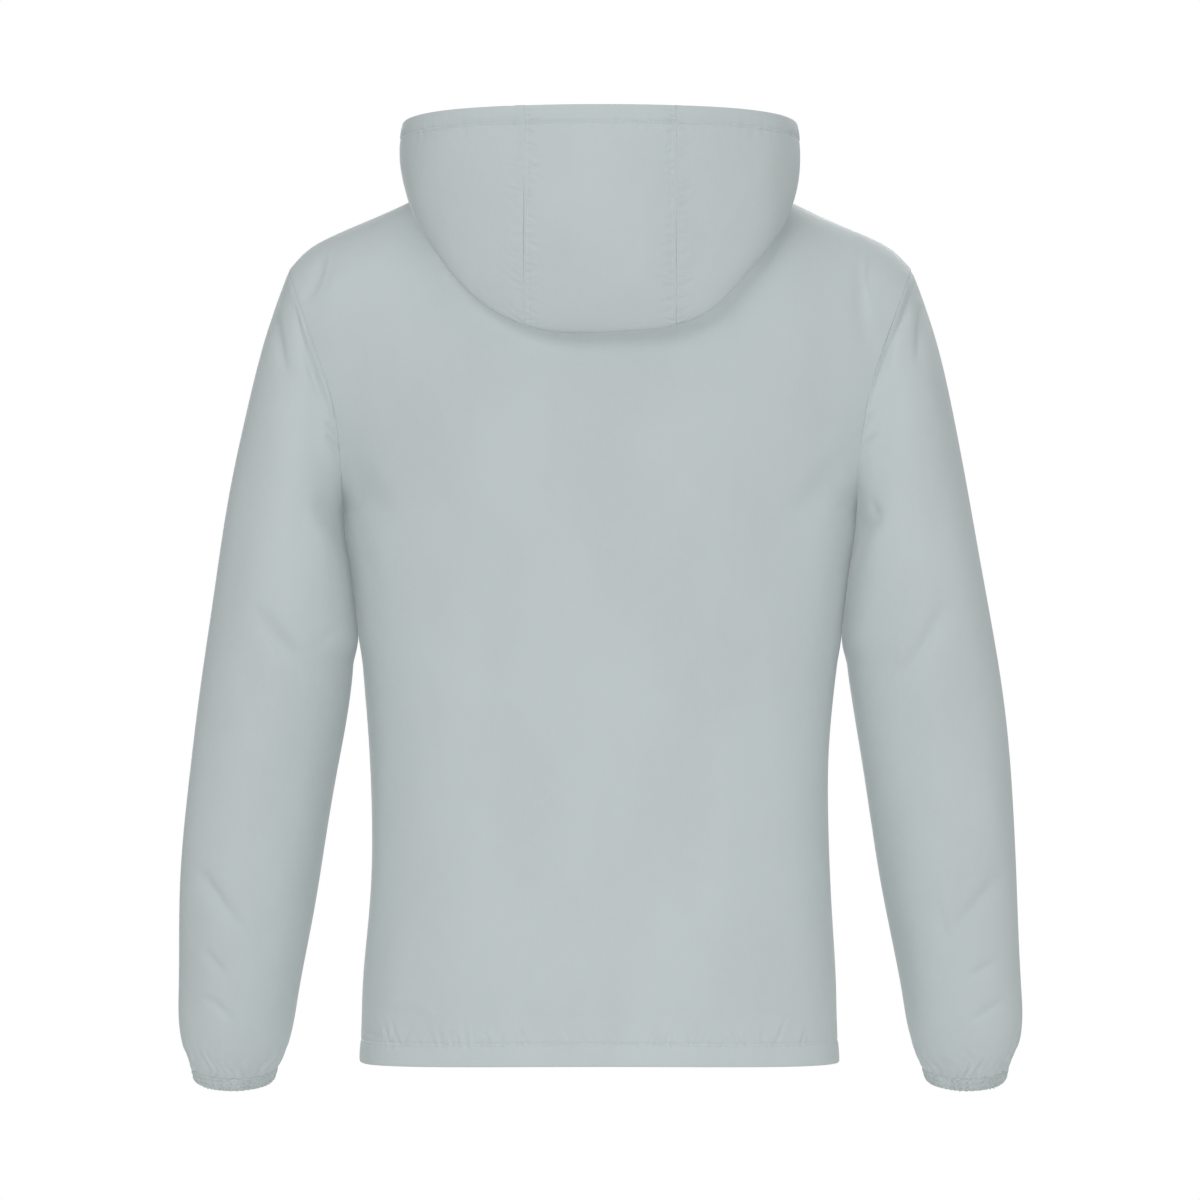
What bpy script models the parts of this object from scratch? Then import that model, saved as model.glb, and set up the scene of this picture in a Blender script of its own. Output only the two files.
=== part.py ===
"""A hooded track jacket, filled out as it is worn, with nobody in it.

Each cut piece is one closed wall of cloth: the back, two fronts, two sleeves, three hood panels
and two elastic cuffs. A zip with its slider and pull closes the front, up to the brim of the hood.

Metres, +Z up. The front faces -Y and the wearer's left is at +X. The origin is midway between
the two points where the shoulder seams meet the neckline, which is where the wearer carries it.
Each side is worked out at +X and turned over for the other one.
"""

import math

import bpy
import numpy as np

MM = 0.001
CLOTH = 1.5 * MM
SEAM_GAP = 0.3 * MM
CORNER_TRIM = 0.8 * SEAM_GAP  # drawn back from a seam where two walls meet at an angle
ARMHOLE_TRIM = 2 * SEAM_GAP  # the sleeve meets the body at a right angle
LEFT, RIGHT = 1, -1
BEHIND, IN_FRONT = 1, -1

# How many faces each piece has: across or round it, and along it.
NECK_COLUMNS, SHOULDER_COLUMNS = 5, 7
FLANK_ROWS, ARMHOLE_ROWS = 11, 8
SLEEVE_COLUMNS, SLEEVE_ROWS = 4 * ARMHOLE_ROWS, 18
HOOD_SIDE_COLUMNS, HOOD_CENTRE_COLUMNS, HOOD_ROWS = 13, 4, 20
CUFF_ROWS, ZIP_STAND_ROWS = 2, 4
CURVE_POINTS = 200  # worked out along a curve before the columns are spaced on it
MIRROR_MERGE = 0.01 * MM
SHARP_DEGREES = 40

# ---------------------------------------------------------------- body of the jacket

SQUARENESS = 2.35

# Level sections below the underarm: height at the centre, how much lower the side seam lies there,
# half width, and depth behind and in front. The first is the hem, the second its line of stitches.
SECTIONS = (
    dict(z=-0.7145, drop=0.004, half_width=0.1908, back=0.1180, front=0.1180),
    dict(z=-0.6965, drop=0.004, half_width=0.1896, back=0.1166, front=0.1168),
    dict(z=-0.6560, drop=0.003, half_width=0.1890, back=0.1165, front=0.1180),
    dict(z=-0.5920, drop=0.001, half_width=0.1852, back=0.1125, front=0.1160),
    dict(z=-0.5280, drop=0.000, half_width=0.1832, back=0.1085, front=0.1150),
    dict(z=-0.4640, drop=0.000, half_width=0.1842, back=0.1065, front=0.1160),
    dict(z=-0.3840, drop=0.000, half_width=0.1918, back=0.1080, front=0.1190),
    dict(z=-0.3250, drop=0.000, half_width=0.1988, back=0.1110, front=0.1225),
)

# Sections that end on the armhole: height and depth at the centre, then the point on the seam.
BACK_ARMHOLE = (
    dict(z=-0.272, depth=0.1130, edge=(0.2045, 0.000, -0.2850)),
    dict(z=-0.238, depth=0.1140, edge=(0.2052, 0.032, -0.2620)),
    dict(z=-0.203, depth=0.1145, edge=(0.2062, 0.055, -0.2270)),
    dict(z=-0.166, depth=0.1135, edge=(0.2130, 0.066, -0.1870)),
    dict(z=-0.128, depth=0.1100, edge=(0.2245, 0.064, -0.1510)),
)
FRONT_ARMHOLE = (
    dict(z=-0.272, depth=0.1250, edge=(0.2045, 0.000, -0.2850)),
    dict(z=-0.238, depth=0.1255, edge=(0.2035, 0.030, -0.2630)),
    dict(z=-0.203, depth=0.1240, edge=(0.2005, 0.053, -0.2300)),
    dict(z=-0.166, depth=0.1190, edge=(0.2020, 0.064, -0.1910)),
    dict(z=-0.135, depth=0.1110, edge=(0.2120, 0.063, -0.1520)),
)

# The shoulder seam, from the neckline to the top of the armhole.
SHOULDER_SEAM = (
    dict(x=0.0800, z=0.0000),
    dict(x=0.1250, z=-0.0190),
    dict(x=0.1716, z=-0.0400),
    dict(x=0.2136, z=-0.0590),
    dict(x=0.2340, z=-0.0712),
    dict(x=0.2480, z=-0.0860),
)
NECK_HALF_WIDTH = 0.0800
NECK_SHARE = 0.36  # of a panel's top row; the rest of it is shoulder seam
BACK_NECK = dict(depth=0.0620, z=0.0080, straight=0.4)
FRONT_NECK = dict(depth=0.0850, z=-0.0750, straight=0.9)
SHOULDER_STEPS = (25, 50, 72, 90)  # degrees round the curve that carries the cloth over the shoulder
RIDGE_SHARE = 0.006  # of a panel's height: the level strip along its top edge

# ---------------------------------------------------------------- sleeves

# The sleeve as it hangs: its outer and inner outline from behind.
SLEEVE_OUTER = (
    dict(z=-0.0860, x=0.2480),
    dict(z=-0.1120, x=0.2590),
    dict(z=-0.1440, x=0.2688),
    dict(z=-0.1920, x=0.2810),
    dict(z=-0.2560, x=0.2930),
    dict(z=-0.3200, x=0.3050),
    dict(z=-0.3840, x=0.3154),
    dict(z=-0.4480, x=0.3246),
    dict(z=-0.5120, x=0.3312),
    dict(z=-0.5760, x=0.3361),
    dict(z=-0.6400, x=0.3382),
    dict(z=-0.7040, x=0.3366),
    dict(z=-0.7160, x=0.3345),
    dict(z=-0.7260, x=0.3295),
)
SLEEVE_INNER = (
    dict(z=-0.2850, x=0.2045),
    dict(z=-0.3000, x=0.2060),
    dict(z=-0.3200, x=0.2030),
    dict(z=-0.3500, x=0.1988),
    dict(z=-0.3840, x=0.1958),
    dict(z=-0.4480, x=0.2070),
    dict(z=-0.5120, x=0.2156),
    dict(z=-0.5760, x=0.2257),
    dict(z=-0.6400, x=0.2380),
    dict(z=-0.7040, x=0.2500),
    dict(z=-0.7160, x=0.2545),
    dict(z=-0.7260, x=0.2605),
)
# Along the sleeve, as a share: how far the inner side hangs below the outer one, the half depth,
# the middle's place in Y and the lean of the ring, which turns forwards with the forearm.
SLEEVE_RINGS = (
    dict(share=0.00, drop=0.197, half_depth=0.0650, y=0.000, lean=0),
    dict(share=0.10, drop=0.150, half_depth=0.0690, y=0.002, lean=0),
    dict(share=0.20, drop=0.106, half_depth=0.0705, y=0.003, lean=0),
    dict(share=0.32, drop=0.062, half_depth=0.0695, y=0.003, lean=1),
    dict(share=0.45, drop=0.030, half_depth=0.0675, y=0.000, lean=3),
    dict(share=0.60, drop=0.018, half_depth=0.0640, y=-0.008, lean=6),
    dict(share=0.75, drop=0.014, half_depth=0.0600, y=-0.020, lean=10),
    dict(share=0.90, drop=0.008, half_depth=0.0530, y=-0.037, lean=14),
    dict(share=0.97, drop=0.003, half_depth=0.0440, y=-0.046, lean=14),
    dict(share=1.00, drop=0.000, half_depth=0.0370, y=-0.051, lean=13),
)
SLEEVE_TOP_Z, SLEEVE_END_Z = -0.0860, -0.7260
SLEEVE_ROW_SPREAD = 1.15  # above 1, rows lie closer together near the armhole
SLEEVE_GATHERS = 8
SLEEVE_GATHER_DEPTH = 1.8 * MM
SLEEVE_GATHER_LENGTH = 0.050
FULLEST = 2 / 3  # of the gathers' length: where they stand out most

CUFF_FROM = 0.97  # the share of the sleeve from which its end shows which way the cuff goes
CUFF_DROP = 2 * SEAM_GAP
CUFF_HEIGHT = 0.0110
CUFF_GATHERS = 24
CUFF_GATHER_DEPTH = 0.7 * MM
CUFF_TAPER = 0.92

# ---------------------------------------------------------------- hood, let down behind

# Lines round the neck, each a row of (x, y, z) points from the zip to the centre back. The cloth
# goes up from the seam to the crest, out and down to the fold, and up again to the brim.
HOOD_STATIONS = (0.00, 0.17, 0.34, 0.50, 0.64, 0.82, 1.00)
HOOD_SEAM_LIFT = 0.8 * MM
CREST = (
    (0.0000, -0.0930, -0.0560),
    (0.0520, -0.0800, -0.0300),
    (0.0830, -0.0430, 0.0060),
    (0.0930, 0.0050, 0.0230),
    (0.0860, 0.0430, 0.0270),
    (0.0520, 0.0760, 0.0290),
    (0.0000, 0.0850, 0.0290),
)
FOLD = (
    (0.0000, -0.0965, -0.0480),
    (0.0680, -0.0985, -0.0330),
    (0.1220, -0.0720, -0.0300),
    (0.1465, -0.0100, -0.0330),
    (0.1395, 0.0740, -0.0560),
    (0.0840, 0.1220, -0.1240),
    (0.0000, 0.1290, -0.1410),
)
BRIM = (
    (0.0000, -0.0990, -0.0330),
    (0.0620, -0.1080, -0.0060),
    (0.1200, -0.0820, 0.0140),
    (0.1500, -0.0220, 0.0225),
    (0.1550, 0.0560, 0.0290),
    (0.1060, 0.1220, 0.0345),
    (0.0000, 0.1420, 0.0362),
)
HOOD_BULGE = 0.012
HOOD_FULL_DROP = 0.150  # the bulge is whole where crest and fold are this far apart
HOOD_CLEARANCE = 3.0 * MM
HOOD_SEAM_X = 0.0595
HOOD_SEAM_AFTER = 0.55  # the station beyond which this seam lies, all the way down
HOOD_STATION_POINTS = 121
# The part of the body that the hood may rest on, and how finely it is read.
REST_FROM, REST_COLUMNS, REST_ROWS = 0.6, 50, 60

# ---------------------------------------------------------------- soft folds

# Folds on the left half, seen from behind or from in front: where each starts and ends as (x, z),
# its half width, and how far it stands out. A hollow crease stands out by less than nothing.
FOLD_FACING = 1 / 3  # how squarely cloth must face the viewer to carry a fold at its full height
BODY_FOLDS = (
    dict(side=BEHIND, start=(0.205, -0.080), end=(0.196, -0.155), half_width=0.014, height=-0.0035),
    dict(side=BEHIND, start=(0.196, -0.235), end=(0.160, -0.300), half_width=0.018, height=-0.0030),
    dict(side=IN_FRONT, start=(0.200, -0.085), end=(0.182, -0.170), half_width=0.014, height=-0.0035),
    dict(side=IN_FRONT, start=(0.190, -0.240), end=(0.120, -0.330), half_width=0.020, height=-0.0040),
)
SLEEVE_FOLDS = (
    dict(side=BEHIND, start=(0.252, -0.115), end=(0.222, -0.215), half_width=0.012, height=0.0045),
    dict(side=BEHIND, start=(0.272, -0.355), end=(0.236, -0.400), half_width=0.014, height=-0.0045),
    dict(side=BEHIND, start=(0.320, -0.566), end=(0.280, -0.612), half_width=0.014, height=-0.0045),
    dict(side=BEHIND, start=(0.324, -0.650), end=(0.286, -0.682), half_width=0.012, height=-0.0040),
    dict(side=IN_FRONT, start=(0.250, -0.120), end=(0.214, -0.220), half_width=0.013, height=0.0045),
    dict(side=IN_FRONT, start=(0.302, -0.350), end=(0.222, -0.392), half_width=0.014, height=-0.0055),
    dict(side=IN_FRONT, start=(0.308, -0.412), end=(0.232, -0.428), half_width=0.013, height=-0.0045),
    dict(side=IN_FRONT, start=(0.322, -0.590), end=(0.270, -0.630), half_width=0.013, height=-0.0040),
)

# ---------------------------------------------------------------- zip

ZIP_HALF_GAP = 4.5 * MM
ZIP_END = 1.5 * MM
BEAD_WIDTH, BEAD_DEPTH = 2.8 * MM, 0.4 * MM
TAPE_WIDTH, TAPE_THICKNESS, TAPE_SLACK = 12.0 * MM, 1.0 * MM, 0.7 * MM

SLIDER_LENGTH, SLIDER_HALF_WIDTH = 11.0 * MM, 3.9 * MM
SLIDER_PLATE, SLIDER_WING, SLIDER_WING_DEPTH = 1.6 * MM, 0.8 * MM, 0.7 * MM
SLIDER_BELOW_BRIM = 14.0 * MM
BRIDGE_HALF_WIDTH, BRIDGE_THICKNESS = 0.9 * MM, 1.0 * MM
BRIDGE_HALF_SPAN, BRIDGE_ROOM = 1.6 * MM, 2.6 * MM

PULL_LENGTH, PULL_THICKNESS = 24.0 * MM, 1.2 * MM
PULL_TOP_HALF_WIDTH, PULL_END_HALF_WIDTH = 3.2 * MM, 3.8 * MM
PULL_CORNER, PULL_WINDOW_CORNER = 1.6 * MM, 0.5 * MM
PULL_BAR, PULL_WINDOW_LENGTH, PULL_WINDOW_HALF_WIDTH = 1.6 * MM, 5.7 * MM, 1.7 * MM

# ---------------------------------------------------------------- finishes

CLOTH_LOOK = dict(colour=(0.45, 0.50, 0.51, 1.0), roughness=0.70, metallic=0.0)
ELASTIC_LOOK = dict(colour=(0.42, 0.47, 0.48, 1.0), roughness=0.80, metallic=0.0)
TAPE_LOOK = dict(colour=(0.40, 0.45, 0.46, 1.0), roughness=0.80, metallic=0.0)
METAL_LOOK = dict(colour=(0.36, 0.40, 0.41, 1.0), roughness=0.35, metallic=0.9)


def spline(knots, values, at):
    """The natural cubic curve through values at knots, read at each of the places in at."""
    knots = np.asarray(knots, float)
    values = np.asarray(values, float)
    at = np.atleast_1d(np.asarray(at, float))
    flat = values.reshape(len(knots), -1)
    gap = np.diff(knots)
    slope = np.diff(flat, axis=0) / gap[:, None]
    system = np.eye(len(knots))
    right = np.zeros_like(flat)
    for i in range(1, len(knots) - 1):
        system[i, i - 1 : i + 2] = gap[i - 1], 2 * (gap[i - 1] + gap[i]), gap[i]
        right[i] = 3 * (slope[i] - slope[i - 1])
    bend = np.linalg.solve(system, right)
    i = np.clip(np.searchsorted(knots, at, side="right") - 1, 0, len(gap) - 1)
    u = (at - knots[i])[:, None]
    h = gap[i][:, None]
    rise = slope[i] - h * (2 * bend[i] + bend[i + 1]) / 3
    curve = flat[i] + rise * u + bend[i] * u**2 + (bend[i + 1] - bend[i]) / (3 * h) * u**3
    return curve.reshape((len(at),) + values.shape[1:])


def column(table, name):
    return np.array([row[name] for row in table], float)


def lengths(points):
    """How far along a row of points each one lies, from 0 to 1."""
    steps = np.linalg.norm(np.diff(points, axis=0), axis=1)
    run = np.concatenate([[0.0], np.cumsum(steps)])
    return run / run[-1]


def evenly(points, shares):
    """The points at these shares of a curve's length."""
    run = lengths(points)
    return np.stack([np.interp(shares, run, points[:, k]) for k in range(3)], axis=1)


# ---------------------------------------------------------------- body of the jacket


def level_row(shares, z, depth, edge, side):
    """A section of one half of the body, from the centre line to its edge, as part of an oval."""
    edge_x, edge_y, edge_z = edge
    power = 2 / SQUARENESS
    turn = math.acos(min(1.0, (edge_y / depth) ** (1 / power)))
    reach = edge_x / math.sin(turn) ** power
    angle = np.linspace(0, turn, CURVE_POINTS)
    x = reach * np.sin(angle) ** power
    y = side * depth * np.cos(angle) ** power
    rise = (x / edge_x) ** 2
    return evenly(np.stack([x, y, z + (edge_z - z) * rise], axis=1), shares)


def shoulder_point(share):
    seam = np.array([(row["x"], 0.0, row["z"]) for row in SHOULDER_SEAM])
    return spline(lengths(seam), seam, share)


def neck_point(share, side):
    """A point of the neckline, from the centre line to the shoulder seam."""
    neck = BACK_NECK if side == BEHIND else FRONT_NECK
    angle = np.atleast_1d(share) * math.pi / 2
    x = NECK_HALF_WIDTH * np.sin(angle)
    y = side * neck["depth"] * np.cos(angle)
    z = neck["z"] * np.cos(angle) ** 2
    return np.stack([x, y, z], axis=1)


def top_row(shares, side):
    """The neckline and then the shoulder seam."""
    on_neck = neck_point(np.minimum(shares / NECK_SHARE, 1), side)
    on_seam = shoulder_point(np.clip((shares - NECK_SHARE) / (1 - NECK_SHARE), 0, 1))
    return np.where((shares < NECK_SHARE)[:, None], on_neck, on_seam)


def torso_rows(shares, side):
    """The named sections of one half of the back or front, from the hem to the shoulder."""
    depth_name = "back" if side == BEHIND else "front"
    rows = [
        level_row(shares, r["z"], r[depth_name], (r["half_width"], 0, r["z"] - r["drop"]), side)
        for r in SECTIONS
    ]
    table = BACK_ARMHOLE if side == BEHIND else FRONT_ARMHOLE
    rows += [level_row(shares, r["z"], r["depth"], r["edge"], side) for r in table]
    last, top = rows[-1], top_row(shares, side)
    neck = BACK_NECK if side == BEHIND else FRONT_NECK
    straight = neck["straight"] * np.clip(1 - shares / NECK_SHARE, 0, 1)
    for degrees in SHOULDER_STEPS:
        up, over = math.sin(math.radians(degrees)), math.cos(math.radians(degrees))
        row = last + (top - last) * up
        row[:, 1] += (last - top)[:, 1] * (1 - straight) * (over + up - 1)
        rows.append(row)
    return np.array(rows)


def torso_knots(side):
    """How high up the panel each named section lies, from 0 at the hem to 1 at the top."""
    return lengths(torso_rows(np.array([0.5]), side)[:, 0])


def torso_heights(side):
    """The panel's rows: the hem, its stitches, even steps past the underarm, and the top edge."""
    knots = torso_knots(side)
    underarm = knots[len(SECTIONS)]
    flank = np.linspace(knots[1], underarm, FLANK_ROWS + 1)
    upper = np.linspace(underarm, 1 - RIDGE_SHARE, ARMHOLE_ROWS)[1:]
    return np.concatenate([[0.0], flank, upper, [1.0]])


def torso_surface(shares, heights, side):
    """One half of the back or front as a grid: its rows go up, its columns out from the centre."""
    surface = spline(torso_knots(side), torso_rows(shares, side), heights)
    surface[:, :, 1] = side * np.maximum(side * surface[:, :, 1], 0)
    return surface


def armhole():
    """The armhole seam as a ring: from the top down behind, under the arm and up in front."""
    edge = np.array([1.0])
    behind, before = (
        torso_surface(edge, torso_heights(side), side)[-ARMHOLE_ROWS - 1 :, 0]
        for side in (BEHIND, IN_FRONT)
    )
    ring = np.concatenate([behind[::-1], before[1:-1]])
    halfway = (ring + np.roll(ring, -1, axis=0)) / 2
    return np.stack([ring, halfway], axis=1).reshape(-1, 3)


# ---------------------------------------------------------------- sleeves


def sleeve_rings(columns, shares):
    """The sleeve's rings. The first point is at the outer side, and a quarter turn is behind."""
    angles = np.arange(columns) * 2 * math.pi / columns
    rings = []
    for row in SLEEVE_RINGS:
        high = SLEEVE_TOP_Z + (SLEEVE_END_Z - SLEEVE_TOP_Z) * row["share"]
        low = high - row["drop"]
        outer = spline(-column(SLEEVE_OUTER, "z"), column(SLEEVE_OUTER, "x"), -high)[0]
        inner = spline(-column(SLEEVE_INNER, "z"), column(SLEEVE_INNER, "x"), -low)[0]
        middle = np.array([(outer + inner) / 2, row["y"], (high + low) / 2])
        across = np.array([(outer - inner) / 2, 0, (high - low) / 2])
        lean = math.radians(row["lean"])
        back = row["half_depth"] * np.array([0, math.cos(lean), -math.sin(lean)])
        rings.append(middle + np.outer(np.cos(angles), across) + np.outer(np.sin(angles), back))
    if columns == SLEEVE_COLUMNS:
        rings[0] = armhole()
    return spline(column(SLEEVE_RINGS, "share"), np.array(rings), shares)


def outwards_from(rings):
    """For each ring, the directions from its middle to its points."""
    away = rings - rings.mean(axis=-2, keepdims=True)
    return away / np.linalg.norm(away, axis=-1, keepdims=True)


def waves(columns, count):
    """This many even waves round a ring."""
    return np.cos(count * np.arange(columns) * 2 * math.pi / columns)


def swelling(share):
    """Nothing at both ends, and one where the gathers are fullest."""
    return share**2 * (1 - share) / (FULLEST**2 * (1 - FULLEST))


def sleeve_surface():
    """The sleeve from the armhole down, gathered above the cuff."""
    shares = np.linspace(0, 1, SLEEVE_ROWS + 1) ** SLEEVE_ROW_SPREAD
    rings = sleeve_rings(SLEEVE_COLUMNS, shares)
    above_end = (rings[:, :, 2] - SLEEVE_END_Z) / SLEEVE_GATHER_LENGTH
    swell = swelling(np.clip(1 - above_end, 0, 1))
    size = SLEEVE_GATHER_DEPTH * swell * waves(SLEEVE_COLUMNS, SLEEVE_GATHERS)
    return rings + outwards_from(rings) * size[:, :, None]


def cuff_surface():
    """The elastic band: the sleeve's last ring carried on down, drawn in and ruched."""
    columns = 4 * CUFF_GATHERS
    above, end = sleeve_rings(columns, np.array([CUFF_FROM, 1.0]))
    middle = end.mean(axis=0)
    down = middle - above.mean(axis=0)
    down /= np.linalg.norm(down)
    ruche = outwards_from(end) * CUFF_GATHER_DEPTH * waves(columns, CUFF_GATHERS)[:, None]
    shares = np.linspace(0, 1, CUFF_ROWS + 1)[:, None, None]
    size = 1 + (CUFF_TAPER - 1) * shares
    return middle + (end - middle) * size + ruche + down * (CUFF_HEIGHT * shares + CUFF_DROP)


# ---------------------------------------------------------------- hood


def round_the_neck(table, stations):
    """A guiding line read at these stations. It is level and square across the centre back."""
    half = np.array(table, float)
    other = half[-2::-1] * (-1, 1, 1)
    knots = np.array(HOOD_STATIONS)
    knots = np.concatenate([knots, 2 - knots[-2::-1]])
    return spline(knots, np.concatenate([half, other]), stations)


def neckline(stations):
    """The neck seam as the cut edge of the fronts and the back gives it, straight between columns."""
    steps = np.linspace(0, 1, NECK_COLUMNS + 1)
    before = neck_point(steps, IN_FRONT)
    behind = neck_point(steps[::-1], BEHIND)[1:]
    points = np.concatenate([before, behind])
    places = np.linspace(0, 1, len(points))
    return np.stack([np.interp(stations, places, points[:, k]) for k in range(3)], axis=1)


def hood_section(seam, crest, fold, brim, rows):
    """One section of the hood: up from the seam, over the crest, down to the fold, up to the brim."""
    start = seam + (crest - seam) * HOOD_SEAM_LIFT / np.linalg.norm(crest - seam)
    inner = (crest + fold) / 2
    outer = (fold + brim) / 2
    away = outer - inner
    spread = min(1.0, np.linalg.norm(crest - fold) / HOOD_FULL_DROP)
    outer = outer + away / max(np.linalg.norm(away), MM) * HOOD_BULGE * spread
    guides = np.array([start, crest, inner, fold, outer, brim])
    return spline(lengths(guides), guides, rows)


def hood_surface(stations, rows):
    """The hood as a grid: rows from the neck seam to the brim, columns from the zip to the back."""
    guides = [neckline(stations)] + [round_the_neck(t, stations) for t in (CREST, FOLD, BRIM)]
    sections = [hood_section(*(line[i] for line in guides), rows) for i in range(len(stations))]
    return np.array(sections).transpose(1, 0, 2)


def body_under_hood():
    """Points all over the upper half of the body, and the directions out of it."""
    points, normals = [], []
    for side in (BEHIND, IN_FRONT):
        across, up = np.linspace(0, 1, REST_COLUMNS), np.linspace(REST_FROM, 1, REST_ROWS)
        grid = torso_surface(across, up, side)
        points.append(grid.reshape(-1, 3))
        normals.append(side * normals_of(grid, ring=False).reshape(-1, 3))
    return np.concatenate(points), np.concatenate(normals)


def resting(surface):
    """The hood with what would sink into the body lifted just clear of it. Its neck seam stays."""
    body, outwards = body_under_hood()
    lifted = surface.copy()
    for row in lifted[1:]:
        nearest = np.argmin(np.linalg.norm(row[:, None] - body[None], axis=2), axis=1)
        height = np.sum((row - body[nearest]) * outwards[nearest], axis=1)
        row += outwards[nearest] * np.maximum(HOOD_CLEARANCE - height, 0)[:, None]
    return lifted


def hood_panels():
    """The side panel, and half of the centre panel, which is as wide all the way down."""
    stations = np.linspace(0, 1, HOOD_STATION_POINTS)
    surface = resting(hood_surface(stations, np.linspace(0, 1, HOOD_ROWS + 1)))
    behind = stations > HOOD_SEAM_AFTER
    side, centre = [], []
    for row in surface:
        seam = np.interp(HOOD_SEAM_X, row[behind, 0][::-1], stations[behind][::-1])
        for panel, first, last, columns in (
            (side, 0, seam, HOOD_SIDE_COLUMNS),
            (centre, seam, 1, HOOD_CENTRE_COLUMNS),
        ):
            at = np.linspace(first, last, columns + 1)
            panel.append(np.stack([np.interp(at, stations, row[:, k]) for k in range(3)], axis=1))
    return np.array(side), np.array(centre)


# ---------------------------------------------------------------- zip


def zip_edges():
    """The cut edge that the zip is sewn to, and the points a column away from it."""
    front = body_panel(IN_FRONT)
    stand = hood_panels()[0][:: HOOD_ROWS // ZIP_STAND_ROWS]
    edge, beside = (np.concatenate([front[:, c], stand[1:, c]]) for c in (0, 1))
    edge[:, 0] = ZIP_HALF_GAP
    for line in (edge, beside):
        for end, next_one in ((line[0], line[1]), (line[-1], line[-2])):
            end += (next_one - end) / np.linalg.norm(next_one - end) * ZIP_END
    return edge, beside


def zip_tape():
    """The left tape with its row of teeth: an L-shaped bar along the edge of the front."""
    edge, beside = zip_edges()
    upwards = np.gradient(edge, axis=0)
    inwards = np.cross(upwards, (1, 0, 0))
    inwards /= np.linalg.norm(inwards, axis=1, keepdims=True)
    slope = (beside - edge) / (beside - edge)[:, :1]
    front = CLOTH + SEAM_GAP + TAPE_SLACK
    profile = (
        (SEAM_GAP / 2, BEAD_DEPTH),
        (BEAD_WIDTH, BEAD_DEPTH),
        (BEAD_WIDTH, front),
        (TAPE_WIDTH, front),
        (TAPE_WIDTH, front + TAPE_THICKNESS),
        (SEAM_GAP / 2, front + TAPE_THICKNESS),
    )
    rings = []
    for x, depth in profile:
        way = slope * max(x - ZIP_HALF_GAP, 0)
        place = edge + way + inwards * depth
        place[:, 0] = x
        rings.append(place)
    return np.array(rings).transpose(1, 0, 2)


def slider_place():
    """Where the slider stops below the brim, as (y, z), and how far it leans."""
    line = zip_edges()[0][::-1, 1:]
    run = np.concatenate([[0], np.cumsum(np.linalg.norm(np.diff(line, axis=0), axis=1))])
    middle, end = (
        np.array([np.interp(below, run, line[:, k]) for k in range(2)])
        for below in (SLIDER_BELOW_BRIM, SLIDER_BELOW_BRIM - SLIDER_LENGTH / 2)
    )
    way = end - middle
    return middle, math.atan2(-way[0], way[1])


# ---------------------------------------------------------------- folds


def normals_of(grid, ring):
    along = np.gradient(grid, axis=0)
    across = np.gradient(grid, axis=1)
    if ring:
        across = np.roll(grid, -1, axis=1) - np.roll(grid, 1, axis=1)
    normal = np.cross(along, across)
    return normal / np.linalg.norm(normal, axis=2, keepdims=True)


def folded(grid, folds, normals):
    """The grid with soft ridges and hollows. The two rows at either end stay where they are."""
    flat = grid[:, :, [0, 2]]
    height = np.zeros(grid.shape[:2])
    for fold in folds:
        start, way = np.array(fold["start"]), np.subtract(fold["end"], fold["start"])
        share = np.clip(((flat - start) @ way) / (way @ way), 0, 1)
        distance = np.linalg.norm(flat - start - share[:, :, None] * way, axis=2)
        facing = np.clip(fold["side"] * normals[:, :, 1] / FOLD_FACING, 0, 1)
        height += fold["height"] * facing * np.exp(-((distance / fold["half_width"]) ** 2))
    height[[0, 1, -2, -1]] = 0
    return grid + normals * height[:, :, None]


# ---------------------------------------------------------------- meshes


def clear_scene():
    for thing in list(bpy.data.objects):
        bpy.data.objects.remove(thing)


def collection(name):
    found = bpy.data.collections.new(name)
    bpy.context.scene.collection.children.link(found)
    return found


def finish(name, look):
    material = bpy.data.materials.new(name)
    material.use_nodes = True
    shader = material.node_tree.nodes["Principled BSDF"]
    shader.inputs["Base Color"].default_value = look["colour"]
    shader.inputs["Roughness"].default_value = look["roughness"]
    shader.inputs["Metallic"].default_value = look["metallic"]
    return material


def add_object(name, data, home, material):
    thing = bpy.data.objects.new(name, data)
    home.objects.link(thing)
    data.materials.append(material)
    return thing


def grid_mesh(name, grid, ring=False, turned=False, capped=False):
    """A mesh of quads over a grid of points, its columns joined into a ring if asked."""
    rows, columns = grid.shape[:2]
    faces = []
    for r in range(rows - 1):
        for c in range(columns if ring else columns - 1):
            right = (c + 1) % columns
            face = (r * columns + c, r * columns + right, (r + 1) * columns + right, (r + 1) * columns + c)
            faces.append(face[::-1] if turned else face)
    if capped:
        first = tuple(range(columns))
        last = tuple((rows - 1) * columns + c for c in range(columns))
        faces += [first, last[::-1]] if turned else [first[::-1], last]
    mesh = bpy.data.meshes.new(name)
    mesh.from_pydata(grid.reshape(-1, 3).tolist(), [], faces)
    mesh.shade_smooth()
    return mesh


def trimmed(grid, by, bottom=False, top=False, first=False, last=False):
    """The grid with these edges drawn back."""
    grid = grid.copy()
    for wanted, edge, beside in (
        (bottom, grid[0], grid[1]),
        (top, grid[-1], grid[-2]),
        (first, grid[:, 0], grid[:, 1]),
        (last, grid[:, -1], grid[:, -2]),
    ):
        if wanted:
            way = beside - edge
            edge += way / np.linalg.norm(way, axis=1, keepdims=True) * by
    return grid


def thicken(thing):
    """Makes a surface a wall. The cloth lies behind the face that shows."""
    wall = thing.modifiers.new("cloth", "SOLIDIFY")
    wall.thickness = CLOTH
    wall.offset = -1


def mirror(thing):
    """Adds the other half, joined along the plane x = 0."""
    halves = thing.modifiers.new("other_half", "MIRROR")
    halves.use_axis = (True, False, False)
    halves.merge_threshold = MIRROR_MERGE


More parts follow.
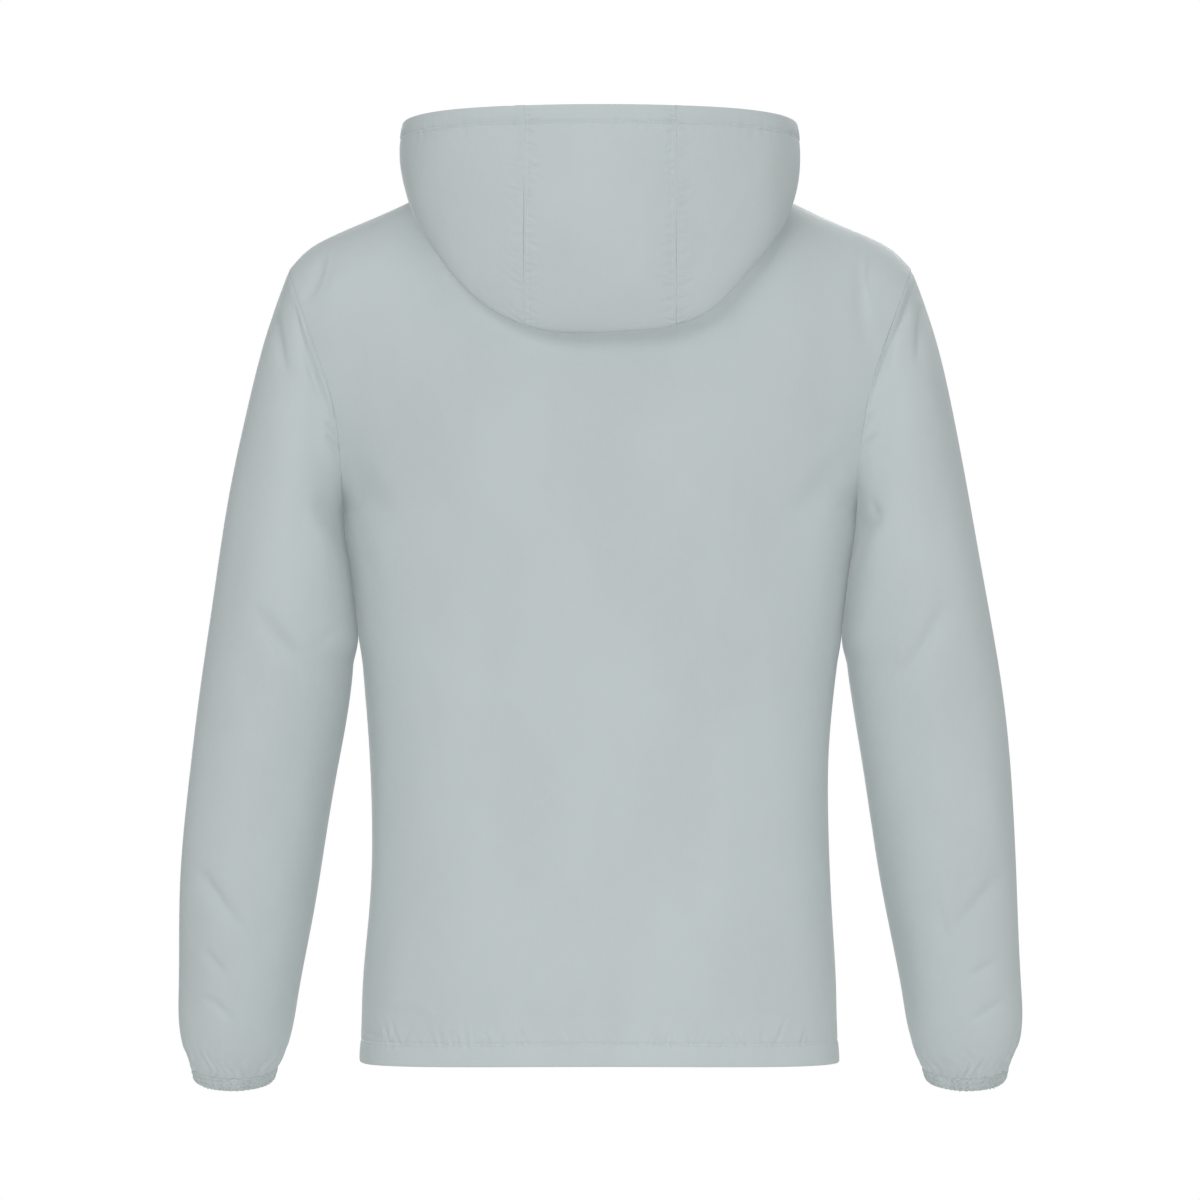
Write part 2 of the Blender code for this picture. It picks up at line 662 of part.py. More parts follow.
def on_side(grid, side):
    return grid * (side, 1, 1)


# ---------------------------------------------------------------- pieces


def body_panel(side):
    """One half of the back or of the front, folded, and cut to its seams."""
    neck = np.linspace(0, NECK_SHARE, NECK_COLUMNS + 1)
    shoulder = np.linspace(NECK_SHARE, 1, SHOULDER_COLUMNS + 1)
    grid = torso_surface(np.concatenate([neck, shoulder[1:]]), torso_heights(side), side)
    folds = [fold for fold in BODY_FOLDS if fold["side"] == side]
    inner = folded(grid, folds, side * normals_of(grid, ring=False))
    grid[:, :-1] = inner[:, :-1]
    return trimmed(grid, top=True, last=True, by=CORNER_TRIM)


def build_back(home):
    grid = body_panel(BEHIND)
    mesh = grid_mesh("back", grid, turned=True)
    back = add_object("back", mesh, home, finish("back_cloth", CLOTH_LOOK))
    mirror(back)
    thicken(back)


def build_fronts(home):
    grid = body_panel(IN_FRONT)
    grid[:, 0, 0] = ZIP_HALF_GAP
    for side, name in ((LEFT, "front_left"), (RIGHT, "front_right")):
        mesh = grid_mesh(name, on_side(grid, side), turned=side == RIGHT)
        thicken(add_object(name, mesh, home, finish(name + "_cloth", CLOTH_LOOK)))


def build_sleeves(home):
    grid = sleeve_surface()
    grid = folded(grid, SLEEVE_FOLDS, normals_of(grid, ring=True))
    grid = trimmed(grid, bottom=True, by=ARMHOLE_TRIM)
    for side, name in ((LEFT, "sleeve_left"), (RIGHT, "sleeve_right")):
        mesh = grid_mesh(name, on_side(grid, side), ring=True, turned=side == LEFT)
        thicken(add_object(name, mesh, home, finish(name + "_cloth", CLOTH_LOOK)))


def build_cuffs(home):
    grid = cuff_surface()
    for side, name in ((LEFT, "cuff_left"), (RIGHT, "cuff_right")):
        mesh = grid_mesh(name, on_side(grid, side), ring=True, turned=side == LEFT)
        thicken(add_object(name, mesh, home, finish(name + "_elastic", ELASTIC_LOOK)))


def build_hood(home):
    side_grid, centre_grid = hood_panels()
    side_grid = trimmed(side_grid, last=True, by=CORNER_TRIM)
    side_grid[:, 0, 0] = ZIP_HALF_GAP
    for side, name in ((LEFT, "hood_side_left"), (RIGHT, "hood_side_right")):
        mesh = grid_mesh(name, on_side(side_grid, side), turned=side == RIGHT)
        thicken(add_object(name, mesh, home, finish(name + "_cloth", CLOTH_LOOK)))
    centre_grid = trimmed(centre_grid, first=True, by=CORNER_TRIM)
    centre_grid[:, -1, 0] = 0
    mesh = grid_mesh("hood_centre", centre_grid)
    centre = add_object("hood_centre", mesh, home, finish("hood_centre_cloth", CLOTH_LOOK))
    mirror(centre)
    thicken(centre)


def build_zip_tapes(home):
    grid = zip_tape()
    for side, name in ((LEFT, "zip_tape_left"), (RIGHT, "zip_tape_right")):
        mesh = grid_mesh(name, on_side(grid, side), ring=True, turned=side == RIGHT, capped=True)
        mesh.set_sharp_from_angle(angle=math.radians(SHARP_DEGREES))
        add_object(name, mesh, home, finish(name + "_weave", TAPE_LOOK))


def bar(name, outline, low, high, axes):
    """A straight bar: an outline carried from low to high. The axes say where each number goes."""
    ends = [[(*point, at) for point in outline] for at in (low, high)]
    return grid_mesh(name, np.array(ends)[:, :, axes], ring=True, capped=True)


def build_slider(home, cutters):
    """The slider: a plate with a wing down each side of the teeth, and a bridge for the pull."""
    place, lean = slider_place()
    back = BEAD_DEPTH - SEAM_GAP
    front = back - SLIDER_PLATE
    inner = SLIDER_HALF_WIDTH - SLIDER_WING
    channel = (
        (-SLIDER_HALF_WIDTH, front),
        (SLIDER_HALF_WIDTH, front),
        (SLIDER_HALF_WIDTH, SLIDER_WING_DEPTH),
        (inner, SLIDER_WING_DEPTH),
        (inner, back),
        (-inner, back),
        (-inner, SLIDER_WING_DEPTH),
        (-SLIDER_HALF_WIDTH, SLIDER_WING_DEPTH),
    )
    mesh = bar("zip_slider", channel, -SLIDER_LENGTH / 2, SLIDER_LENGTH / 2, (0, 1, 2))
    slider = add_object("zip_slider", mesh, home, finish("slider_metal", METAL_LOOK))
    foot = front + SLIDER_PLATE / 2
    roof = front - BRIDGE_ROOM
    reach = BRIDGE_HALF_SPAN + BRIDGE_THICKNESS
    arch = (
        (foot, -reach),
        (roof - BRIDGE_THICKNESS, -reach),
        (roof - BRIDGE_THICKNESS, reach),
        (foot, reach),
        (foot, BRIDGE_HALF_SPAN),
        (roof, BRIDGE_HALF_SPAN),
        (roof, -BRIDGE_HALF_SPAN),
        (foot, -BRIDGE_HALF_SPAN),
    )
    mesh = bar("slider_bridge", arch, -BRIDGE_HALF_WIDTH, BRIDGE_HALF_WIDTH, (2, 0, 1))
    bridge = add_object("slider_bridge", mesh, cutters, finish("bridge_metal", METAL_LOOK))
    bridge.hide_render = True
    bridge.display_type = "WIRE"
    for thing in (slider, bridge):
        thing.location = (0, *place)
        thing.rotation_euler = (lean, 0, 0)
    joined = slider.modifiers.new("bridge", "BOOLEAN")
    joined.operation = "UNION"
    joined.object = bridge
    pivot = front - BRIDGE_ROOM / 2
    return (0, place[0] + pivot * math.cos(lean), place[1] + pivot * math.sin(lean))


def rounded(corners, radius, steps=4):
    """A closed outline with its corners turned into arcs."""
    points = []
    for i, corner in enumerate(corners):
        corner = np.array(corner)
        before = np.subtract(corners[i - 1], corner)
        after = np.subtract(corners[(i + 1) % len(corners)], corner)
        start = corner + before / np.linalg.norm(before) * radius
        end = corner + after / np.linalg.norm(after) * radius
        for share in np.linspace(0, 1, steps + 1):
            points.append((1 - share) ** 2 * start + 2 * share * (1 - share) * corner + share**2 * end)
    return points


def build_pull(home, pivot):
    """The pull: a flat tab that hangs from its bar, which lies on the hinge's axis."""
    top, window = PULL_BAR / 2, PULL_BAR / 2 + PULL_WINDOW_LENGTH
    outer = (
        (-PULL_TOP_HALF_WIDTH, top),
        (PULL_TOP_HALF_WIDTH, top),
        (PULL_END_HALF_WIDTH, -PULL_LENGTH),
        (-PULL_END_HALF_WIDTH, -PULL_LENGTH),
    )
    inner = (
        (-PULL_WINDOW_HALF_WIDTH, -top),
        (PULL_WINDOW_HALF_WIDTH, -top),
        (PULL_WINDOW_HALF_WIDTH, -window),
        (-PULL_WINDOW_HALF_WIDTH, -window),
    )
    flat = bpy.data.curves.new("zip_pull", "CURVE")
    flat.dimensions = "2D"
    flat.fill_mode = "BOTH"
    flat.extrude = PULL_THICKNESS / 2
    for outline in (rounded(outer, PULL_CORNER), rounded(inner, PULL_WINDOW_CORNER)):
        edge = flat.splines.new("POLY")
        edge.points.add(len(outline) - 1)
        for point, (x, y) in zip(edge.points, outline):
            point.co = (x, y, 0, 1)
        edge.use_cyclic_u = True
    pull = add_object("zip_pull", flat, home, finish("pull_metal", METAL_LOOK))
    pull.location = pivot
    pull.rotation_euler = (math.pi / 2, 0, 0)


def main():
    clear_scene()
    jacket, cutters = collection("track_jacket"), collection("cutters")
    build_back(jacket)
    build_fronts(jacket)
    build_sleeves(jacket)
    build_cuffs(jacket)
    build_hood(jacket)
    build_zip_tapes(jacket)
    pivot = build_slider(jacket, cutters)
    build_pull(jacket, pivot)


main()
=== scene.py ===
"""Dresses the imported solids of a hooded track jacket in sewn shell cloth, with its zip and thread.

Metres, +Z up. The front faces -Y and the wearer's left is at +X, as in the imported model. The
cloth pieces follow the same sections as the solids, so each lies where its own solid lies.
"""

import logging
import math
from dataclasses import dataclass, field, replace
from enum import Enum, IntEnum
from typing import Iterable, Sequence

import bpy
import numpy as np
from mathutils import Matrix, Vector
from mathutils.bvhtree import BVHTree


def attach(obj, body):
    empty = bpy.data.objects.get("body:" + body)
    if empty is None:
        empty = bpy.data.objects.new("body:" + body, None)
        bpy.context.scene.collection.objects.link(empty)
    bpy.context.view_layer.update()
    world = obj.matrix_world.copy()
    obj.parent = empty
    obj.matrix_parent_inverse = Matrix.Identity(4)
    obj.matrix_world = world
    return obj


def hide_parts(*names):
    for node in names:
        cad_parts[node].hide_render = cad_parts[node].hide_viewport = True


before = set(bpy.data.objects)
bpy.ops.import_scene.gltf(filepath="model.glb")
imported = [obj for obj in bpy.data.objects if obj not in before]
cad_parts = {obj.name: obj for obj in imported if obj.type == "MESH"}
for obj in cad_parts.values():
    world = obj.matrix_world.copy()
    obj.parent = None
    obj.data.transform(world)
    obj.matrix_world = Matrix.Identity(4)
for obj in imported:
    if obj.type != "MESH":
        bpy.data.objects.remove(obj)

LOG = logging.getLogger("track_jacket")
MM = 0.001
JACKET = "jacket"

Array = np.ndarray
Point = tuple[float, float, float]
Spot = tuple[float, float]


class View(IntEnum):
    """The side of the jacket that a viewer sees, as the sign of Y there."""

    BEHIND = 1
    IN_FRONT = -1


class Half(IntEnum):
    """The wearer's left or right, as the sign of X there."""

    LEFT = 1
    RIGHT = -1

    @property
    def word(self) -> str:
        """The word that ends the names of this half's pieces."""
        return self.name.lower()


class Edge(Enum):
    """An edge of a panel: the axis that runs away from it, and whether it is the far one."""

    FOOT = (0, False)
    TOP = (0, True)
    FIRST = (1, False)
    LAST = (1, True)


# ---------------------------------------------------------------- sizes of the cut


@dataclass(frozen=True)
class Section:
    """A level section of the body below the underarm; drop is how much lower its side lies."""

    z: float
    drop: float
    half_width: float
    back: float
    front: float


@dataclass(frozen=True)
class ArmholeRow:
    """A section that ends on the armhole: its height and depth at the centre, and its end."""

    z: float
    depth: float
    edge: Point


@dataclass(frozen=True)
class Neck:
    """Half a neckline: its depth from the shoulder line, its height, and how flat it runs."""

    depth: float
    z: float
    straight: float


@dataclass(frozen=True)
class Ring:
    """A ring of the sleeve at a share of its length, with its depth, place in Y and lean."""

    share: float
    drop: float
    half_depth: float
    y: float
    lean: float


SECTIONS = (
    Section(z=-0.7145, drop=0.004, half_width=0.1908, back=0.1180, front=0.1180),
    Section(z=-0.6965, drop=0.004, half_width=0.1896, back=0.1166, front=0.1168),
    Section(z=-0.6560, drop=0.003, half_width=0.1890, back=0.1165, front=0.1180),
    Section(z=-0.5920, drop=0.001, half_width=0.1852, back=0.1125, front=0.1160),
    Section(z=-0.5280, drop=0.000, half_width=0.1832, back=0.1085, front=0.1150),
    Section(z=-0.4640, drop=0.000, half_width=0.1842, back=0.1065, front=0.1160),
    Section(z=-0.3840, drop=0.000, half_width=0.1918, back=0.1080, front=0.1190),
    Section(z=-0.3250, drop=0.000, half_width=0.1988, back=0.1110, front=0.1225),
)
ARMHOLE_ROWS = {
    View.BEHIND: (
        ArmholeRow(z=-0.272, depth=0.1130, edge=(0.2045, 0.000, -0.2850)),
        ArmholeRow(z=-0.238, depth=0.1140, edge=(0.2052, 0.032, -0.2620)),
        ArmholeRow(z=-0.203, depth=0.1145, edge=(0.2062, 0.055, -0.2270)),
        ArmholeRow(z=-0.166, depth=0.1135, edge=(0.2130, 0.066, -0.1870)),
        ArmholeRow(z=-0.128, depth=0.1100, edge=(0.2245, 0.064, -0.1510)),
    ),
    View.IN_FRONT: (
        ArmholeRow(z=-0.272, depth=0.1250, edge=(0.2045, 0.000, -0.2850)),
        ArmholeRow(z=-0.238, depth=0.1255, edge=(0.2035, 0.030, -0.2630)),
        ArmholeRow(z=-0.203, depth=0.1240, edge=(0.2005, 0.053, -0.2300)),
        ArmholeRow(z=-0.166, depth=0.1190, edge=(0.2020, 0.064, -0.1910)),
        ArmholeRow(z=-0.135, depth=0.1110, edge=(0.2120, 0.063, -0.1520)),
    ),
}
NECKS = {
    View.BEHIND: Neck(depth=0.0620, z=0.0080, straight=0.4),
    View.IN_FRONT: Neck(depth=0.0850, z=-0.0750, straight=0.9),
}
SHOULDER_SEAM: tuple[Spot, ...] = (
    (0.0800, 0.0000),
    (0.1250, -0.0190),
    (0.1716, -0.0400),
    (0.2136, -0.0590),
    (0.2340, -0.0712),
    (0.2480, -0.0860),
)
# The sleeve's outline from behind, as (z, x).
SLEEVE_OUTER: tuple[Spot, ...] = (
    (-0.0860, 0.2480),
    (-0.1120, 0.2590),
    (-0.1440, 0.2688),
    (-0.1920, 0.2810),
    (-0.2560, 0.2930),
    (-0.3200, 0.3050),
    (-0.3840, 0.3154),
    (-0.4480, 0.3246),
    (-0.5120, 0.3312),
    (-0.5760, 0.3361),
    (-0.6400, 0.3382),
    (-0.7040, 0.3366),
    (-0.7160, 0.3345),
    (-0.7260, 0.3295),
)
SLEEVE_INNER: tuple[Spot, ...] = (
    (-0.2850, 0.2045),
    (-0.3000, 0.2060),
    (-0.3200, 0.2030),
    (-0.3500, 0.1988),
    (-0.3840, 0.1958),
    (-0.4480, 0.2070),
    (-0.5120, 0.2156),
    (-0.5760, 0.2257),
    (-0.6400, 0.2380),
    (-0.7040, 0.2500),
    (-0.7160, 0.2545),
    (-0.7260, 0.2605),
)
SLEEVE_RINGS = (
    Ring(share=0.00, drop=0.197, half_depth=0.0650, y=0.000, lean=0),
    Ring(share=0.10, drop=0.150, half_depth=0.0690, y=0.002, lean=0),
    Ring(share=0.20, drop=0.106, half_depth=0.0705, y=0.003, lean=0),
    Ring(share=0.32, drop=0.062, half_depth=0.0695, y=0.003, lean=1),
    Ring(share=0.45, drop=0.030, half_depth=0.0675, y=0.000, lean=3),
    Ring(share=0.60, drop=0.018, half_depth=0.0640, y=-0.008, lean=6),
    Ring(share=0.75, drop=0.014, half_depth=0.0600, y=-0.020, lean=10),
    Ring(share=0.90, drop=0.008, half_depth=0.0530, y=-0.037, lean=14),
    Ring(share=0.97, drop=0.003, half_depth=0.0440, y=-0.046, lean=14),
    Ring(share=1.00, drop=0.000, half_depth=0.0370, y=-0.051, lean=13),
)
# Lines round the neck from the zip to the centre back: the hood's crest, lower fold and brim.
HOOD_STATIONS = (0.00, 0.17, 0.34, 0.50, 0.64, 0.82, 1.00)
CREST: tuple[Point, ...] = (
    (0.0000, -0.0930, -0.0560),
    (0.0520, -0.0800, -0.0300),
    (0.0830, -0.0430, 0.0060),
    (0.0930, 0.0050, 0.0230),
    (0.0860, 0.0430, 0.0270),
    (0.0520, 0.0760, 0.0290),
    (0.0000, 0.0850, 0.0290),
)
FOLD: tuple[Point, ...] = (
    (0.0000, -0.0965, -0.0480),
    (0.0680, -0.0985, -0.0330),
    (0.1220, -0.0720, -0.0300),
    (0.1465, -0.0100, -0.0330),
    (0.1395, 0.0740, -0.0560),
    (0.0840, 0.1220, -0.1240),
    (0.0000, 0.1290, -0.1410),
)
BRIM: tuple[Point, ...] = (
    (0.0000, -0.0990, -0.0330),
    (0.0620, -0.1080, -0.0060),
    (0.1200, -0.0820, 0.0140),
    (0.1500, -0.0220, 0.0225),
    (0.1550, 0.0560, 0.0290),
    (0.1060, 0.1220, 0.0345),
    (0.0000, 0.1420, 0.0362),
)


# ---------------------------------------------------------------- curves


def spline(knots: Sequence[float], values: Sequence, at: Sequence[float] | float) -> Array:
    """The natural cubic curve through values at knots.

    Args:
        knots: Where the values stand, in rising order.
        values: One number or array at each knot.
        at: The places to read.

    Returns:
        The values at those places, stacked along the first axis.
    """
    knots, values = np.asarray(knots, float), np.asarray(values, float)
    at = np.atleast_1d(np.asarray(at, float))
    flat = values.reshape(len(knots), -1)
    gap = np.diff(knots)
    slope = np.diff(flat, axis=0) / gap[:, None]
    system, right = np.eye(len(knots)), np.zeros_like(flat)
    for i in range(1, len(knots) - 1):
        system[i, i - 1 : i + 2] = gap[i - 1], 2 * (gap[i - 1] + gap[i]), gap[i]
        right[i] = 3 * (slope[i] - slope[i - 1])
    bend = np.linalg.solve(system, right)
    i = np.clip(np.searchsorted(knots, at, side="right") - 1, 0, len(gap) - 1)
    u, h = (at - knots[i])[:, None], gap[i][:, None]
    rise = slope[i] - h * (2 * bend[i] + bend[i + 1]) / 3
    curve = flat[i] + rise * u + bend[i] * u**2 + (bend[i + 1] - bend[i]) / (3 * h) * u**3
    return curve.reshape((len(at),) + values.shape[1:])


def runs(points: Array, axis: int = 0) -> Array:
    """How far along each line of points every point lies, in metres.

    Args:
        points: Points with their coordinates on the last axis.
        axis: The axis that the lines run along.

    Returns:
        The distances, with the coordinate axis gone.
    """
    steps = np.linalg.norm(np.diff(points, axis=axis), axis=-1)
    return np.concatenate([np.zeros_like(np.take(steps, [0], axis)), np.cumsum(steps, axis)], axis)


def shares_of(points: Array) -> Array:
    """How far along a line of points each one lies, from 0 to 1."""
    run = runs(points)
    return run / run[-1]


def read(line: Array, run: Array, at: Array | float) -> Array:
    """The points of a line at these distances along it, in straight steps."""
    return np.stack([np.interp(at, run, line[:, k]) for k in range(line.shape[1])], axis=-1)


def smoothed(grid: Array, passes: int, axis: int = 0) -> Array:
    """A grid in which each point takes on a little of its two neighbours, time after time.

    Args:
        grid: The points or heights.
        passes: How often.
        axis: The axis that the neighbours lie along.

    Returns:
        The new grid, with both ends of that axis where they were.
    """
    soft = np.moveaxis(grid.copy(), axis, 0)
    for _ in range(passes):
        soft[1:-1] = (soft[:-2] + 2 * soft[1:-1] + soft[2:]) / 4
    return np.moveaxis(soft, 0, axis)


def soft_step(share: Array) -> Array:
    """The shares kept from 0 to 1, with a soft start and a soft end."""
    share = np.clip(share, 0, 1)
    return share**2 * (3 - 2 * share)


def turns(count: int) -> Array:
    """The angles of this many places round a ring."""
    return np.arange(count) * 2 * math.pi / count


def eased(grid: Array, passes: int, keep: Array) -> Array:
    """A grid whose columns are eased into each other.

    Args:
        grid: The points, row by row.
        passes: How often each column takes on a little of its neighbours.
        keep: For each row, the share of its first shape that it keeps.

    Returns:
        The eased grid, with its first and last columns where they were.
    """
    soft = smoothed(grid, passes, axis=1)
    return soft + (grid - soft) * keep[:, None, None]


def unit(vectors: Array) -> Array:
    """The vectors at length one."""
    return vectors / np.maximum(np.linalg.norm(vectors, axis=-1, keepdims=True), 1e-12)


# ---------------------------------------------------------------- forms that the cloth fills


@dataclass(frozen=True)
class BodyForm:
    """The trunk of the jacket: half a back and half a front, worked out at +X."""

    squareness: float = 2.35
    neck_half_width: float = 0.0800
    neck_share: float = 0.36
    shoulder_steps: tuple[int, ...] = (25, 50, 72, 90)
    ridge_share: float = 0.006
    armhole_rows: int = 8
    curve_points: int = 200

    def level(self, shares: Array, z: float, depth: float, edge: Point, view: View) -> Array:
        """A level section of half a panel as part of an oval.

        Args:
            shares: Places from the centre line, 0, to the panel's edge, 1.
            z: Height at the centre line.
            depth: Distance of the centre line from the plane of the shoulders.
            edge: The section's last point.
            view: Whether it is the back's or the front's.

        Returns:
            One point for each share.
        """
        power = 2 / self.squareness
        turn = math.acos(min(1.0, (edge[1] / depth) ** (1 / power)))
        reach = edge[0] / math.sin(turn) ** power
        angle = np.linspace(0, turn, self.curve_points)
        x = reach * np.sin(angle) ** power
        y = view * depth * np.cos(angle) ** power
        line = np.stack([x, y, z + (edge[2] - z) * (x / edge[0]) ** 2], axis=1)
        return read(line, shares_of(line), shares)

    def shoulder(self, share: Array) -> Array:
        """Points of the shoulder seam, from the neckline out to the armhole."""
        seam = np.array([(x, 0.0, z) for x, z in SHOULDER_SEAM])
        return spline(shares_of(seam), seam, share)

    def neckline(self, share: Array, view: View) -> Array:
        """Points of half the neckline, from the centre line to the shoulder seam."""
        neck, angle = NECKS[view], np.atleast_1d(share) * math.pi / 2
        x = self.neck_half_width * np.sin(angle)
        return np.stack([x, view * neck.depth * np.cos(angle), neck.z * np.cos(angle) ** 2], axis=1)

    def rows(self, shares: Array, view: View) -> Array:
        """The named sections of half a panel, from the hem to the shoulder."""
        half = []
        for s in SECTIONS:
            depth = s.back if view == View.BEHIND else s.front
            half.append(self.level(shares, s.z, depth, (s.half_width, 0, s.z - s.drop), view))
        half += [self.level(shares, r.z, r.depth, r.edge, view) for r in ARMHOLE_ROWS[view]]
        on_neck = self.neckline(np.minimum(shares / self.neck_share, 1), view)
        past = np.clip((shares - self.neck_share) / (1 - self.neck_share), 0, 1)
        at_neck = (shares < self.neck_share)[:, None]
        last, top = half[-1], np.where(at_neck, on_neck, self.shoulder(past))
        straight = NECKS[view].straight * np.clip(1 - shares / self.neck_share, 0, 1)
        for degrees in self.shoulder_steps:
            up, over = math.sin(math.radians(degrees)), math.cos(math.radians(degrees))
            row = last + (top - last) * up
            row[:, 1] += (last - top)[:, 1] * (1 - straight) * (over + up - 1)
            half.append(row)
        return np.array(half)

    def knots(self, view: View) -> Array:
        """How high up the panel each named section lies, as a share."""
        return shares_of(self.rows(np.array([0.5]), view)[:, 0])

    def surface(self, shares: Array, heights: Array, view: View) -> Array:
        """Half a panel as a grid: rows go up from the hem, columns go out from the centre."""
        grid = spline(self.knots(view), self.rows(shares, view), heights)
        grid[:, :, 1] = view * np.maximum(view * grid[:, :, 1], 0)
        return grid

    def armhole(self, columns: int) -> Array:
        """The armhole as a ring: from the top down behind, under the arm and up in front."""
        steps = np.arange(columns) * 2 * self.armhole_rows / columns
        ring, behind = np.zeros((columns, 3)), steps <= self.armhole_rows
        for view, wanted in ((View.BEHIND, behind), (View.IN_FRONT, ~behind)):
            underarm = self.knots(view)[len(SECTIONS)]
            table = np.append(np.linspace(underarm, 1 - self.ridge_share, self.armhole_rows), 1.0)
            rising = abs(steps[wanted] - self.armhole_rows)
            heights = np.interp(rising, range(self.armhole_rows + 1), table)
            order = np.argsort(heights)
            edge = self.surface(np.array([1.0]), heights[order], view)[:, 0]
            ring[np.flatnonzero(wanted)[order]] = edge
        return ring

    def skin(self, columns: int = 60, rows: int = 90) -> BVHTree:
        """The upper half of the trunk as something that can be measured against."""
        points, faces = [], []
        for view in View:
            grid = self.surface(np.linspace(0, 1, columns), np.linspace(0.5, 1, rows), view)
            start = len(points)
            points += grid.reshape(-1, 3).tolist()
            for r in range(rows - 1):
                for c in range(columns - 1):
                    a = start + r * columns + c
                    face = (a, a + columns, a + columns + 1, a + 1)
                    faces.append(face if view == View.BEHIND else face[::-1])
        return BVHTree.FromPolygons(points, faces)


@dataclass(frozen=True)
class SleeveForm:
    """A sleeve as it hangs, worked out at +X. Its first column is at the outer side."""

    body: BodyForm = BodyForm()
    top_z: float = -0.0860
    end_z: float = -0.7260

    def rings(self, columns: int, shares: Array, at_armhole: bool = True) -> Array:
        """The sleeve's rings, a quarter turn behind the outer side coming second.

        Args:
            columns: Points round each ring.
            shares: Places along the sleeve from the armhole, 0, to its end, 1.
            at_armhole: Whether the first ring is the armhole seam itself.

        Returns:
            The rings as a grid of points.
        """
        angles = turns(columns)
        outline = [np.array(side).T for side in (SLEEVE_OUTER, SLEEVE_INNER)]
        made = []
        for row in SLEEVE_RINGS:
            high = self.top_z + (self.end_z - self.top_z) * row.share
            low = high - row.drop
            outer, inner = (spline(-z, x, -at)[0] for (z, x), at in zip(outline, (high, low)))
            middle = np.array([(outer + inner) / 2, row.y, (high + low) / 2])
            across = np.array([(outer - inner) / 2, 0, (high - low) / 2])
            lean = math.radians(row.lean)
            back = row.half_depth * np.array([0, math.cos(lean), -math.sin(lean)])
            made.append(middle + np.outer(np.cos(angles), across) + np.outer(np.sin(angles), back))
        if at_armhole:
            made[0] = self.body.armhole(columns)
        return spline([row.share for row in SLEEVE_RINGS], np.array(made), shares)


@dataclass(frozen=True)
class HoodForm:
    """The hood let down behind. Rows go from the neck seam to the brim, columns round the neck."""

    body: BodyForm = BodyForm()
    seam_lift: float = 0.8 * MM
    bulge: float = 0.012
    full_drop: float = 0.150
    clearance: float = 3.0 * MM
    seam_x: float = 0.0595
    seam_after: float = 0.55
    station_points: int = 401
    feel: float = 0.080
    settle_passes: int = 6

    def guide(self, table: Sequence[Point], stations: Array) -> Array:
        """A line round the neck, level and square across the centre back."""
        half = np.array(table, float)
        knots = np.array(HOOD_STATIONS)
        knots = np.concatenate([knots, 2 - knots[-2::-1]])
        return spline(knots, np.concatenate([half, half[-2::-1] * (-1, 1, 1)]), stations)

    def neck_seam(self, stations: Array) -> Array:
        """The neck seam, from the zip to the centre back."""
        before = self.body.neckline(np.minimum(2 * stations, 1), View.IN_FRONT)
        behind = self.body.neckline(np.clip(2 - 2 * stations, 0, 1), View.BEHIND)
        return np.where((stations < 0.5)[:, None], before, behind)

    def section(self, seam: Array, crest: Array, fold: Array, brim: Array, rows: Array) -> Array:
        """One section: up from the seam, over the crest, down to the fold, up to the brim."""
        start = seam + unit(crest - seam) * self.seam_lift
        inner, outer = (crest + fold) / 2, (fold + brim) / 2
        spread = min(1.0, float(np.linalg.norm(crest - fold)) / self.full_drop)
        outer = outer + unit(outer - inner) * self.bulge * spread
        guides = np.array([start, crest, inner, fold, outer, brim])
        return spline(shares_of(guides), guides, rows)

    def surface(self, rows: Array) -> tuple[Array, Array]:
        """Half the hood as a grid, lifted clear of the shoulders, and its stations."""
        stations = np.linspace(0, 1, self.station_points)
        lines = [self.neck_seam(stations)] + [self.guide(t, stations) for t in (CREST, FOLD, BRIM)]
        grid = np.array([self.section(*spots, rows) for spots in zip(*lines)])
        return self.resting(grid.transpose(1, 0, 2)), stations

    def resting(self, grid: Array) -> Array:
        """The grid with what would sink into the body lifted just clear of it."""
        skin, lift = self.body.skin(), np.zeros_like(grid)
        for r, row in enumerate(grid[1:], start=1):
            for c, point in enumerate(row):
                spot, out, _, _ = skin.find_nearest(point.tolist(), self.feel)
                if spot is not None:
                    height = (Vector(point) - spot).dot(out)
                    lift[r, c] = np.array(out) * max(self.clearance - height, 0)
        for axis in (0, 1):
            lift = smoothed(lift, self.settle_passes, axis)
        return grid + lift

    def panels(self, rows: Array, side_columns: int, centre_columns: int) -> tuple[Array, Array]:
        """The side panel and the whole centre panel, which is as wide all the way down."""
        surface, stations = self.surface(rows)
        behind = stations > self.seam_after
        side, centre = [], []
        for row in surface:
            seam = np.interp(self.seam_x, row[behind, 0][::-1], stations[behind][::-1])
            side.append(read(row, stations, np.linspace(0, seam, side_columns + 1)))
            centre.append(read(row, stations, np.linspace(seam, 1, centre_columns + 1)))
        half = np.array(centre)
        half[:, -1, 0] = 0
        return np.array(side), np.concatenate([half, half[:, -2::-1] * (-1, 1, 1)], axis=1)


# ---------------------------------------------------------------- relief of the cloth


